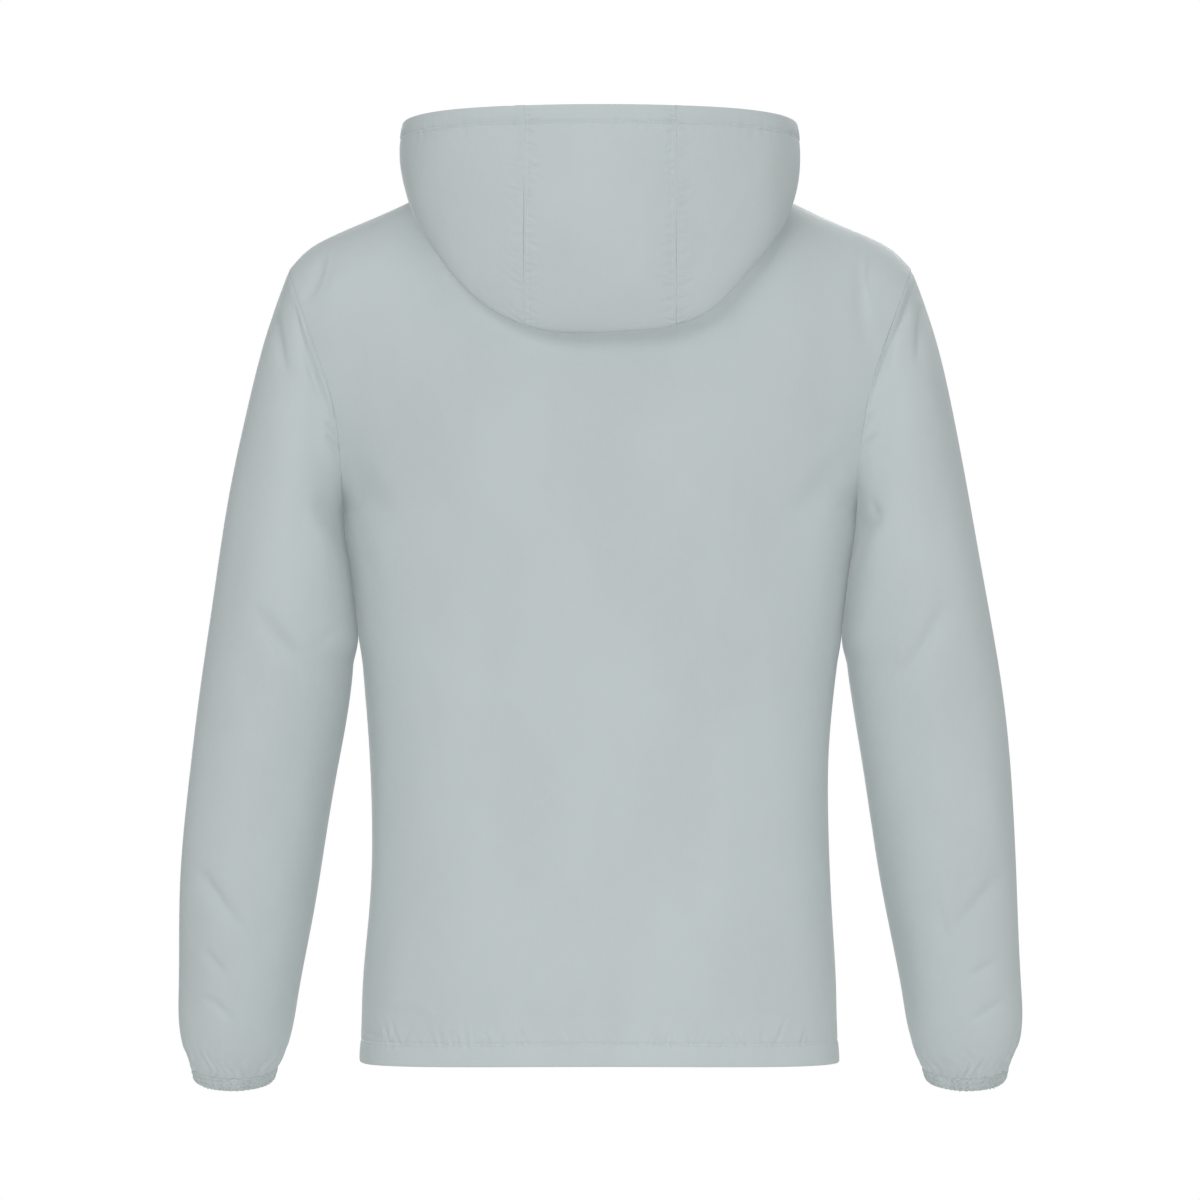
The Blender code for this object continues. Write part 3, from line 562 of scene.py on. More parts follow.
@dataclass(frozen=True)
class Crease:
    """A soft fold as a viewer sees it: a ridge, or a hollow where its height is below nothing.

    Its path is a row of (x, z) spots, and it fades out at both ends. Width is that of one flank,
    lean, from -1 to 1, makes one flank steeper than the other, and crisp, from 0 to 1, how sharp
    its crest is.
    """

    view: View
    path: tuple[Spot, ...]
    height: float
    width: float
    lean: float = 0.0
    crisp: float = 0.0

    def relief(self, points: Array, out: Array) -> Array:
        """How far this fold moves each point outwards.

        Args:
            points: The cloth's points, with their coordinates on the last axis.
            out: The directions out of the cloth there.

        Returns:
            A height for each point, in metres.
        """
        line = np.array(self.path)
        fine = np.linspace(0, 1, 12 * len(line))
        line = spline(shares_of(line), line, fine)
        height = np.zeros(points.shape[:-1])
        flat, margin = points[..., [0, 2]], 4 * self.width
        near = np.all((flat > line.min(0) - margin) & (flat < line.max(0) + margin), axis=-1)
        near &= self.view * out[..., 1] > 0
        if not near.any():
            return height
        away = flat[near][:, None] - line[None]
        far = np.linalg.norm(away, axis=2)
        nearest = np.argmin(far, axis=1)
        picked = np.arange(len(nearest))
        way = unit(np.gradient(line, axis=0))[nearest]
        side = np.sign(way[:, 0] * away[picked, nearest, 1] - way[:, 1] * away[picked, nearest, 0])
        q = (far[picked, nearest] / (self.width * (1 + 0.5 * self.lean * side))) ** 2
        fade = np.sin(math.pi * np.clip(nearest / (len(line) - 1), 0.02, 0.98)) ** 0.7
        facing = np.clip(3 * self.view * out[..., 1][near], 0, 1)
        profile = (1 - 0.45 * q) * np.exp(-(q ** (1 - 0.5 * self.crisp)))
        height[near] = self.height * fade * facing * profile
        return height


@dataclass(frozen=True)
class Puckers:
    """The small pulled folds that stand across a line of stitches, each unlike the next.

    Pitch is their usual spacing; width, that of one; reach, how far they run from the line on its
    near and far sides; depth, that of the deepest. Calm is the share of them that barely shows.
    """

    seed: int
    pitch: float
    width: float
    reach: tuple[float, float]
    depth: float
    calm: float = 0.35
    slant: float = 0.4

    def relief(self, along: Array, away: Array, around: float = math.inf) -> Array:
        """The heights of these folds.

        Args:
            along: How far along the line each place lies.
            away: How far from the line it lies.
            around: The line's length where it runs round a ring.

        Returns:
            A height for each place, in metres.
        """
        rng = np.random.default_rng(self.seed)
        low, length = float(along.min()), float(along.max()) - float(along.min())
        count = max(1, int(length / self.pitch))
        places = np.arange(count) + rng.uniform(-0.35, 0.35, count) + 0.5
        middles = low + places * length / count
        depths = self.depth * rng.uniform(0.35, 1.0, count)
        depths *= np.where(rng.random(count) < self.calm, 0.15, 1.0)
        widths = self.width * rng.uniform(0.7, 1.5, count)
        slants = rng.uniform(-self.slant, self.slant, count)
        lengths = rng.uniform(0.45, 1.0, count)
        height = np.zeros(along.shape)
        longest = np.where(away > 0, self.reach[1], self.reach[0])
        near = np.abs(away) < 1.6 * longest
        for middle, depth, width, slant, length in zip(middles, depths, widths, slants, lengths):
            beside = along - middle
            if around < math.inf:
                beside = (beside + around / 2) % around - around / 2
            wanted = near & (np.abs(beside) < 4 * width + 1.6 * self.slant * max(self.reach))
            if not wanted.any():
                continue
            d = away[wanted]
            spread = width * (1 + 0.6 * np.abs(d) / longest[wanted])
            q = ((beside[wanted] - slant * d) / spread) ** 2
            fall = np.exp(-((d / (longest[wanted] * length)) ** 2))
            height[wanted] += depth * fall * (1.15 * q - 1) * np.exp(-q)
        return height


@dataclass(frozen=True)
class Drift:
    """The slow rise and fall of cloth that hangs loose, longer down a piece than across it.

    It is worked out in space, so that pieces sewn together rise and fall as one.
    """

    seed: int
    size: float
    across: Spot = (0.06, 0.16)
    down: Spot = (0.16, 0.45)
    count: int = 10

    def relief(self, points: Array) -> Array:
        """Heights for points of the cloth."""
        rng = np.random.default_rng(self.seed)
        height = np.zeros(points.shape[:-1])
        for _ in range(self.count):
            heading = rng.uniform(0, 2 * math.pi)
            level = 2 * math.pi / rng.uniform(*self.across)
            upright = 2 * math.pi / rng.uniform(*self.down)
            wave = np.array([level * math.cos(heading), level * math.sin(heading), upright])
            height += np.sin(points @ wave + rng.uniform(0, 2 * math.pi))
        return self.size * height / math.sqrt(self.count)


def hollow(away: Array, width: float, depth: float) -> Array:
    """The narrow hollow that a row of stitches pulls into the cloth."""
    return -depth * np.exp(-((away / width) ** 2))


# ---------------------------------------------------------------- panels of cloth


@dataclass
class Panel:
    """A cut piece as a grid of points: rows run up or down it, columns across or round it.

    Facing is 1 where the right side lies towards (down the rows) x (along the columns), and -1
    where it lies the other way.
    """

    name: str
    points: Array
    facing: int = 1
    ring: bool = False
    out: Array = field(init=False)

    def __post_init__(self) -> None:
        """Works out the directions out of the right side."""
        self.out = self.normals()

    def normals(self) -> Array:
        """The directions out of the right side, one for each point."""
        along = np.gradient(self.points, axis=0)
        if self.ring:
            across = np.roll(self.points, -1, axis=1) - np.roll(self.points, 1, axis=1)
        else:
            across = np.gradient(self.points, axis=1)
        return unit(np.cross(along, across)) * self.facing

    def uv(self) -> tuple[Array, Array]:
        """Each point's distance across the piece, from its middle column, and along it."""
        u, v = runs(self.points, axis=1), runs(self.points, axis=0)
        middle = self.points.shape[1] // 2
        return u - u[:, middle : middle + 1], v

    def raised(self, height: Array) -> "Panel":
        """The panel with its points moved out by these heights."""
        self.points = self.points + self.out * height[..., None]
        self.out = self.normals()
        return self

    def cut_for(self, half: Half) -> "Panel":
        """This piece, worked out for the wearer's left, as the piece for either half."""
        if half == Half.LEFT:
            return self
        return Panel(self.name, self.points[:, ::-1] * (-1, 1, 1), self.facing, self.ring)

    def line(self, away: Array, level: float, lift: float, side: int = 1) -> tuple[Array, Array]:
        """A line that keeps one distance on the panel, such as a row of stitches.

        Args:
            away: Each point's distance from an edge or seam, growing along its column.
            level: The distance at which the line runs.
            lift: How far above the cloth it lies.
            side: 1 for the right side of the cloth, -1 for the wrong one.

        Returns:
            The line's points and the directions out of the cloth there, column by column.
        """
        spots, outs = [], []
        for c in range(self.points.shape[1]):
            place_at = np.interp(level, away[:, c], np.arange(len(away)))
            row, share = min(int(place_at), len(away) - 2), place_at - int(place_at)
            outward = (1 - share) * self.out[row, c] + share * self.out[row + 1, c]
            spot = (1 - share) * self.points[row, c] + share * self.points[row + 1, c]
            spots.append(spot + outward * lift * side)
            outs.append(outward * side)
        return np.array(spots), unit(np.array(outs))

    def turned(self, edge: Edge, fold: Sequence[tuple[float, float]]) -> "Panel":
        """The panel with an edge turned under.

        Args:
            edge: Which edge.
            fold: For each new row, how far it lies back from the edge and below the cloth.

        Returns:
            The panel with its last row at that edge replaced by the new ones.
        """
        axis, far_end = edge.value

        def facing_edge(grid: Array) -> Array:
            """The grid with this edge as its first row."""
            grid = np.swapaxes(grid, 0, 1) if axis else grid
            return grid[::-1] if far_end else grid

        points, out = facing_edge(self.points), facing_edge(self.out)
        run = runs(points, axis=0)
        keep = int(np.argmax(run.min(axis=1) > fold[0][0]))
        rows, outs = [], []
        for back, depth in fold:
            under = [read(points[:, c], run[:, c], back) for c in range(points.shape[1])]
            normal = [read(out[:, c], run[:, c], back) for c in range(points.shape[1])]
            outs.append(unit(np.array(normal)))
            rows.append(np.array(under) - outs[-1] * depth)
        points = np.concatenate([np.array(rows)[::-1], points[keep:]])
        out = np.concatenate([np.array(outs)[::-1], out[keep:]])
        points, out = (grid[::-1] if far_end else grid for grid in (points, out))
        if axis:
            points, out = points.swapaxes(0, 1), out.swapaxes(0, 1)
        self.points, self.out = points, out
        return self

    def build(self, material: bpy.types.Material) -> bpy.types.Object:
        """Makes the panel an object, with a map of the cloth in metres for its weave."""
        rows, columns = self.points.shape[:2]
        last = columns if self.ring else columns - 1
        r, c = np.meshgrid(np.arange(rows - 1), np.arange(last), indexing="ij")
        beside = (c + 1) % columns
        corners = [(r, c), (r + 1, c), (r + 1, beside), (r, beside)]
        if self.facing < 0:
            corners = corners[::-1]
        faces = np.stack([a * columns + b for a, b in corners], axis=-1).reshape(-1, 4)
        mesh = bpy.data.meshes.new(self.name)
        mesh.from_pydata(self.points.reshape(-1, 3).tolist(), [], faces.tolist())
        closed = self.points
        if self.ring:
            closed = np.concatenate([closed, closed[:, :1]], axis=1)
        u, v = runs(closed, axis=1), runs(closed, axis=0)
        wrap = np.where((beside == 0) & self.ring, columns, beside)
        places = [(a, wrap if b is beside else b) for a, b in corners]
        uv = np.stack([np.stack([u[a, b], v[a, b]], axis=-1) for a, b in places], axis=-2)
        layer = mesh.uv_layers.new(name="cloth")
        layer.data.foreach_set("uv", uv.reshape(-1).astype(np.float32))
        mesh.shade_smooth()
        mesh.materials.append(material)
        return place(self.name, mesh)


def place(name: str, data: bpy.types.ID) -> bpy.types.Object:
    """Puts a mesh, a lamp or a camera in the scene as an object."""
    thing = bpy.data.objects.new(name, data)
    bpy.context.scene.collection.objects.link(thing)
    return thing


def solid(
    name: str, points: Array, faces: Iterable, material: bpy.types.Material, smooth: bool = True
) -> bpy.types.Object:
    """Makes an object from points and faces.

    Args:
        name: The object's name.
        points: Its points.
        faces: Its faces, each as the numbers of its points.
        material: Its finish.
        smooth: Whether its faces are shaded as one curved surface.

    Returns:
        The object.
    """
    mesh = bpy.data.meshes.new(name)
    mesh.from_pydata(np.asarray(points).reshape(-1, 3).tolist(), [], [tuple(f) for f in faces])
    if smooth:
        mesh.shade_smooth()
    mesh.materials.append(material)
    return place(name, mesh)


def in_mm(*spots: Spot) -> tuple[Spot, ...]:
    """Spots given in millimetres, in metres."""
    return tuple((a * MM, b * MM) for a, b in spots)


# How edges are turned under, as (back from the edge, below the cloth). The hem, the brim and the
# end of the elastic band are turned in as casings, down to their raw edge.
SEAM_FOLD = in_mm(
    (0.95, 0.0), (0.52, 0.05), (0.26, 0.15), (0.10, 0.30), (0.0, 0.46), (1.0, 0.80), (6.0, 0.92)
)
SOFT_ROLL = in_mm((1.6, 0.0), (0.8, 0.06), (0.25, 0.28), (0.05, 0.65), (0.3, 1.0), (1.2, 1.25))
SOFT_FOLD = SOFT_ROLL + in_mm((4.0, 1.3))
HEM_FOLD = SOFT_ROLL + in_mm(
    (5.0, 1.7), (11.0, 1.7), (16.0, 1.1), (18.0, 0.6), (19.0, 0.8), (21.0, 1.3)
)
BRIM_FOLD = SOFT_ROLL + in_mm((5.0, 1.6), (10.0, 1.4), (13.5, 0.6), (14.5, 0.6), (16.5, 1.2))
BAND_FOLD = SOFT_ROLL + in_mm((4.0, 1.6), (9.0, 1.6))


@dataclass(frozen=True)
class StitchRow:
    """A row of lockstitches: short stretches of thread that dip into the cloth at both ends."""

    pitch: float = 2.4 * MM
    share: float = 0.54
    radius: float = 0.30 * MM
    proud: float = 0.24 * MM
    sides: int = 5
    # A stitch from end to end, as shares of (its length, its rise, its radius).
    shape: tuple[Point, ...] = (
        (0.00, -0.90, 0.55),
        (0.22, 0.75, 0.95),
        (0.50, 1.00, 1.00),
        (0.78, 0.75, 0.95),
        (1.00, -0.90, 0.55),
    )

    def build(
        self, name: str, spots: Array, outs: Array, material: bpy.types.Material
    ) -> bpy.types.Object:
        """Sews the row along a line of points.

        Args:
            name: The piece's name.
            spots: The line's points, on the cloth.
            outs: The directions out of the cloth there.
            material: The thread's finish.

        Returns:
            The row of stitches as one object.
        """
        run = runs(spots)
        count = max(1, int(run[-1] / self.pitch))
        step = run[-1] / count
        shares, rise, thick = np.array(self.shape).T
        at = (np.arange(count)[:, None] + 0.5 + (shares - 0.5) * self.share) * step
        centre, out = read(spots, run, at), unit(read(outs, run, at))
        way = unit(centre[:, -1:] - centre[:, :1])
        across = unit(np.cross(way, out))
        centre = centre + out * (self.proud * rise)[None, :, None]
        angle = turns(self.sides)[:, None]
        ring = across[:, :, None] * np.cos(angle) + out[:, :, None] * np.sin(angle)
        points = centre[:, :, None] + ring * (self.radius * thick)[None, :, None, None]
        faces, last = [], len(shares) - 1
        for start in range(0, count * len(shares) * self.sides, len(shares) * self.sides):
            for low in range(start, start + last * self.sides, self.sides):
                for side in range(self.sides):
                    a, b = low + side, low + (side + 1) % self.sides
                    faces.append((a + self.sides, b + self.sides, b, a))
            end = start + last * self.sides
            faces.append(tuple(range(start, start + self.sides)))
            faces.append(tuple(range(end, end + self.sides))[::-1])
        return solid(name, points, faces, material)


# ---------------------------------------------------------------- finishes


class Socket:
    """One output of a shader node that can be used in sums as a plain number can."""

    def __init__(self, graph: "Graph", output: bpy.types.NodeSocket) -> None:
        """Keeps the output and the graph that it belongs to."""
        self.graph = graph
        self.output = output

    def sum_with(self, operation: str, *values: "Socket | float") -> "Socket":
        """The outcome of one Math node on these values."""
        made = self.graph.node("ShaderNodeMath", {"operation": operation}, dict(enumerate(values)))
        return Socket(self.graph, made.outputs[0])

    def __add__(self, other: "Socket | float") -> "Socket":
        """This value plus another."""
        return self.sum_with("ADD", self, other)

    __radd__ = __add__

    def __sub__(self, other: "Socket | float") -> "Socket":
        """This value less another."""
        return self.sum_with("SUBTRACT", self, other)

    def __rsub__(self, other: "Socket | float") -> "Socket":
        """Another value less this one."""
        return self.sum_with("SUBTRACT", other, self)

    def __mul__(self, other: "Socket | float") -> "Socket":
        """This value times another."""
        return self.sum_with("MULTIPLY", self, other)

    __rmul__ = __mul__

    def __abs__(self) -> "Socket":
        """This value without its sign."""
        return self.sum_with("ABSOLUTE", self)

    def sine(self) -> "Socket":
        """The sine of this value in radians."""
        return self.sum_with("SINE", self)

    def clipped(self) -> "Socket":
        """This value kept from 0 to 1."""
        return self.sum_with("MINIMUM", self.sum_with("MAXIMUM", self, 0.0), 1.0)

    def between(self, low: float, high: float) -> "Socket":
        """Nothing below low, 1 above high, and a soft step between them."""
        settings = {"interpolation_type": "SMOOTHSTEP"}
        values = {"Value": self, "From Min": low, "From Max": high}
        made = self.graph.node("ShaderNodeMapRange", settings, values)
        return Socket(self.graph, made.outputs["Result"])


class Graph:
    """The nodes of one finish, from an empty shader up."""

    def __init__(self, name: str) -> None:
        """Makes the material with its shader and output."""
        self.material = bpy.data.materials.new(name)
        self.material.use_nodes = True
        self.tree = self.material.node_tree
        self.shader = self.tree.nodes["Principled BSDF"]

    def node(
        self, kind: str, settings: dict | None = None, values: dict | None = None
    ) -> bpy.types.Node:
        """Adds a node.

        Args:
            kind: The node's type.
            settings: Its own settings, which are set before its sockets.
            values: For each input, by name or place, a value or a link.

        Returns:
            The node.
        """
        made = self.tree.nodes.new(kind)
        for key, value in (settings or {}).items():
            setattr(made, key, value)
        for key, value in (values or {}).items():
            self.feed(made.inputs[key], value)
        return made

    def feed(self, socket: bpy.types.NodeSocket, value: "Socket | float | Sequence[float]") -> None:
        """Sets a socket to a value, or links it."""
        if isinstance(value, Socket):
            self.tree.links.new(value.output, socket)
        else:
            socket.default_value = value

    def place(self, what: str) -> Socket:
        """Where a point of the surface lies: UV in metres of cloth, or Object in metres."""
        return Socket(self, self.node("ShaderNodeTexCoord").outputs[what])

    def parts(self, vector: Socket) -> tuple[Socket, Socket, Socket]:
        """The three numbers of a vector."""
        made = self.node("ShaderNodeSeparateXYZ", values={"Vector": vector})
        return tuple(Socket(self, made.outputs[k]) for k in range(3))

    def scaled(self, vector: Socket, by: Point) -> Socket:
        """A vector with each of its numbers times another."""
        made = self.node("ShaderNodeVectorMath", {"operation": "MULTIPLY"}, {0: vector, 1: by})
        return Socket(self, made.outputs["Vector"])

    def noise(self, vector: Socket, size: float, detail: float = 3.0, rough: float = 0.5) -> Socket:
        """Soft random ups and downs from 0 to 1, of this size in metres."""
        values = {"Vector": vector, "Scale": 1 / size, "Detail": detail, "Roughness": rough}
        return Socket(self, self.node("ShaderNodeTexNoise", values=values).outputs[0])

    def mix(
        self, share: "Socket | float", first: "Socket | Sequence", second: "Socket | Sequence"
    ) -> Socket:
        """One colour passing into another."""
        made = self.node("ShaderNodeMix", {"data_type": "RGBA"}, {0: share, 6: first, 7: second})
        return Socket(self, made.outputs[2])

    def bump(self, layers: Sequence[tuple[Socket, float]]) -> Socket:
        """Layers of fine relief, each a height from 0 to 1 and its full height in metres."""
        below = None
        for height, size in layers:
            values = {"Height": height, "Distance": size, "Strength": 1.0}
            if below is not None:
                values["Normal"] = below
            below = Socket(self, self.node("ShaderNodeBump", values=values).outputs[0])
        return below

    def finished(self, **values: "Socket | float | Sequence[float]") -> bpy.types.Material:
        """Feeds the shader's sockets, named with underscores for spaces, and gives the material."""
        sockets = {socket.name.lower().replace(" ", "_"): socket for socket in self.shader.inputs}
        for name, value in values.items():
            self.feed(sockets[name], value)
        return self.material


def grey(level: float, tint: Point = (0.908, 1.0, 0.998)) -> tuple[float, float, float, float]:
    """A colour of the jacket's pale grey-green, at this level of light."""
    return tuple(level * k for k in tint) + (1.0,)


# A noise is seldom below the first or above the second of these.
NOISE_RANGE = (0.35, 0.65)


@dataclass(frozen=True)
class ShellCloth:
    """Tightly woven light shell cloth with a dry touch and faint slubs in both directions."""

    level: float = 0.56
    thread: float = 0.42 * MM
    roughness: float = 0.62

    def material(self, name: str) -> bpy.types.Material:
        """Makes the finish under this name."""
        graph = Graph(name)
        cloth, room = graph.place("UV"), graph.place("Object")
        u, v, _ = graph.parts(cloth)
        p, q = u * (math.pi / self.thread), v * (math.pi / self.thread)
        warp, weft = p.sine(), q.sine()
        over = (warp * weft * 2.5 + 0.5).clipped()
        weave = abs(warp) * over + abs(weft) * (1 - over)
        slubs = graph.noise(graph.scaled(cloth, (1, 0.05, 1)), 0.7 * MM, 2.0)
        slubs = slubs * 0.5 + graph.noise(graph.scaled(cloth, (0.05, 1, 1)), 0.7 * MM, 2.0) * 0.5
        crinkle = graph.noise(graph.scaled(room, (1.0, 1.0, 0.8)), 6.0 * MM, 4.0, 0.55)
        softness = graph.noise(room, 34.0 * MM, 3.0, 0.5)
        mottle = graph.noise(graph.scaled(room, (1.0, 1.0, 0.55)), 90.0 * MM, 4.0, 0.55)
        pale, dark = grey(self.level * 1.03), grey(self.level * 0.97)
        tone = graph.mix(mottle.between(*NOISE_RANGE), dark, pale)
        tone = graph.mix(slubs.between(*NOISE_RANGE) * 0.5, tone, grey(self.level * 1.04))
        # Painted shade: the cloth is darker between its threads, where the weave is low.
        tone = graph.mix((1 - weave) * 0.18, tone, grey(self.level * 0.80))
        rough = self.roughness - 0.05 * weave + (mottle - 0.5) * 0.08
        relief = graph.bump(
            [(softness, 0.5 * MM), (crinkle, 0.07 * MM), (slubs, 0.03 * MM), (weave, 0.02 * MM)]
        )
        return graph.finished(base_color=tone, roughness=rough, normal=relief,
                              sheen_weight=0.12, sheen_roughness=0.45, specular_ior_level=0.35)


@dataclass(frozen=True)
class ElasticCloth:
    """The ruched band of the cuffs: the shell cloth over elastic, ribbed round the wrist."""

    level: float = 0.56
    rib: float = 1.3 * MM

    def material(self, name: str) -> bpy.types.Material:
        """Makes the finish under this name."""
        graph = Graph(name)
        cloth, room = graph.place("UV"), graph.place("Object")
        u, v, _ = graph.parts(cloth)
        wander = graph.noise(cloth, 4.0 * MM, 2.0)
        ribs = (v * (2 * math.pi / self.rib) + wander * 3.0).sine() * 0.5 + 0.5
        gathers = graph.noise(graph.scaled(cloth, (1, 0.16, 1)), 1.5 * MM, 3.0)
        knit = (u * (2 * math.pi / (0.5 * MM))).sine() * 0.5 + 0.5
        # Painted shade and light: the band is darker in the hollows of its gathers and paler on
        # their crests.
        pale, dark = grey(self.level * 1.03), grey(self.level * 0.95)
        tone = graph.mix(gathers.between(*NOISE_RANGE), dark, pale)
        # Painted shade: the band is darker in the hollows between its ribs.
        tone = graph.mix((1 - ribs) * 0.12, tone, grey(self.level * 0.84))
        rough = 0.74 + (graph.noise(room, 9.0 * MM) - 0.5) * 0.12
        relief = graph.bump([(gathers, 0.16 * MM), (ribs, 0.06 * MM), (knit, 0.02 * MM)])
        return graph.finished(base_color=tone, roughness=rough, normal=relief,
                              sheen_weight=0.15, specular_ior_level=0.3)


@dataclass(frozen=True)
class ZipWeave:
    """The woven tape of a zip: a fine herringbone, dyed to match the cloth."""

    level: float = 0.50
    rib: float = 0.9 * MM

    def material(self, name: str) -> bpy.types.Material:
        """Makes the finish under this name."""
        graph = Graph(name)
        cloth = graph.place("UV")
        u, v, _ = graph.parts(cloth)
        zigzag = abs((u * (math.pi / (2.4 * MM))).sine())
        ribs = ((v + zigzag * (1.1 * MM)) * (2 * math.pi / self.rib)).sine() * 0.5 + 0.5
        warp = (u * (2 * math.pi / (0.6 * MM))).sine() * 0.5 + 0.5
        # Painted shade and light: the tape is darker in the hollows between its ribs and paler on
        # their crests.
        tone = graph.mix(ribs, grey(self.level * 0.72), grey(self.level * 1.05))
        worn = graph.noise(cloth, 7.0 * MM)
        rough = 0.70 + 0.10 * worn
        relief = graph.bump([(ribs, 0.12 * MM), (warp, 0.05 * MM)])
        return graph.finished(base_color=tone, roughness=rough, normal=relief, sheen_weight=0.1)


@dataclass(frozen=True)
class MouldedTeeth:
    """The zip's teeth: moulded plastic, a little darker than the cloth, shiny where they rub."""

    level: float = 0.46

    def material(self, name: str) -> bpy.types.Material:
        """Makes the finish under this name."""
        graph = Graph(name)
        room = graph.place("Object")
        rub = graph.noise(room, 2.0 * MM, 4.0, 0.6)
        clouds = graph.noise(room, 22.0 * MM, 2.0)
        tone = graph.mix(clouds, grey(self.level * 0.93), grey(self.level * 1.06))
        rough = 0.44 - 0.16 * rub.between(0.45, 0.75)
        relief = graph.bump([(rub, 0.02 * MM)])
        return graph.finished(base_color=tone, roughness=rough, normal=relief)


@dataclass(frozen=True)
class PaintedMetal:
    """The slider and its pull: cast metal under a satin paint, worn through in specks."""

    level: float = 0.40

    def material(self, name: str) -> bpy.types.Material:
        """Makes the finish under this name."""
        graph = Graph(name)
        room = graph.place("Object")
        grain = graph.noise(room, 0.6 * MM, 3.0)
        wear = graph.noise(room, 1.6 * MM, 5.0, 0.7) * 0.7 + graph.noise(room, 0.3 * MM) * 0.3
        wear = wear.between(0.60, 0.66)
        pale, dark = grey(self.level * 1.05), grey(self.level * 0.95)
        tone = graph.mix(graph.noise(room, 8.0 * MM), dark, pale)
        tone = graph.mix(wear, tone, grey(0.62, (1.0, 0.98, 0.95)))
        rough = 0.36 + 0.08 * grain - 0.08 * wear
        relief = graph.bump([(grain, 0.012 * MM)])
        return graph.finished(
            base_color=tone, metallic=0.25 + 0.7 * wear, roughness=rough, normal=relief
        )


@dataclass(frozen=True)
class Thread:
    """Sewing thread dyed to match, a touch paler where it catches the light."""

    level: float = 0.72

    def material(self, name: str) -> bpy.types.Material:
        """Makes the finish under this name."""
        graph = Graph(name)
        room = graph.place("Object")
        twist = graph.noise(graph.scaled(room, (1, 1, 0.6)), 0.25 * MM, 2.0)
        batch = graph.noise(room, 5.0 * MM)
        # Painted highlight and shade: the thread is paler on the crests of its twist and darker
        # between them.
        pale, dark = grey(self.level * 1.08), grey(self.level * 0.82)
        tone = graph.mix(twist.between(*NOISE_RANGE), dark, pale)
        rough = 0.5 + 0.15 * batch
        relief = graph.bump([(twist, 0.05 * MM)])
        return graph.finished(base_color=tone, roughness=rough, normal=relief, sheen_weight=0.2)


# ---------------------------------------------------------------- the sewn pieces


def spaced(length: float, step: float, fine: float, zones: tuple[float, float]) -> Array:
    """Places from 0 to 1 along a piece, closer together within a zone at either end.

    Args:
        length: The piece's length in metres.
        step: The usual spacing.
        fine: The spacing within the zones.
        zones: How far each zone reaches from its end.

    Returns:
        The places, both ends among them.
    """
    first, last = zones
    stops = [0.0, first, length - last, length]
    steps = [fine, step, fine]
    parts = [
        np.linspace(low, high, max(2, round((high - low) / size) + 1))[:-1]
        for low, high, size in zip(stops, stops[1:], steps)
        if high > low
    ]
    return np.append(np.concatenate(parts), length) / length


@dataclass(frozen=True)
class Cut:
    """A piece's flat cut: its width and length, and its area."""

    width: float
    length: float
    area: float


@dataclass
class Sewing:
    cloth: ShellCloth = ShellCloth()
    thread: Thread = Thread()
    lift: float = 0.05 * MM
    stitch: StitchRow = StitchRow()

    def sew(
        self, name: str, line: tuple[Array, Array], material: bpy.types.Material
    ) -> bpy.types.Object:
        """Sews a row of stitches that rides with the jacket."""
        row = self.stitch.build(name, *line, material)
        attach(row, JACKET)
        LOG.info("%s: %d faces", name, len(row.data.polygons))
        return row

    def declare(self, thing: bpy.types.Object, node: str, slot: str, cut: Cut,
                with_pieces: Sequence[bpy.types.Object] = ()) -> None:
        """Args:
            thing: The piece.
            node: The solid that it replaces.
            slot: The record's material slot for it; not used.
            cut: Its flat cut; not used.
            with_pieces: The rows of stitches on it; not used.
        """
        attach(thing, JACKET)
        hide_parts(node)
        mesh = thing.data
        area = sum(face.area for face in mesh.polygons)
        LOG.info("%s: %d faces, %.4f m2 of cloth", thing.name, len(mesh.polygons), area)


def creases(view: View, *rows: tuple) -> tuple[Crease, ...]:
    """Creases that show from one side, each as (path, height and width in mm, lean, crisp)."""
    return tuple(
        Crease(view, path, height * MM, width * MM, *form) for path, height, width, *form in rows
    )


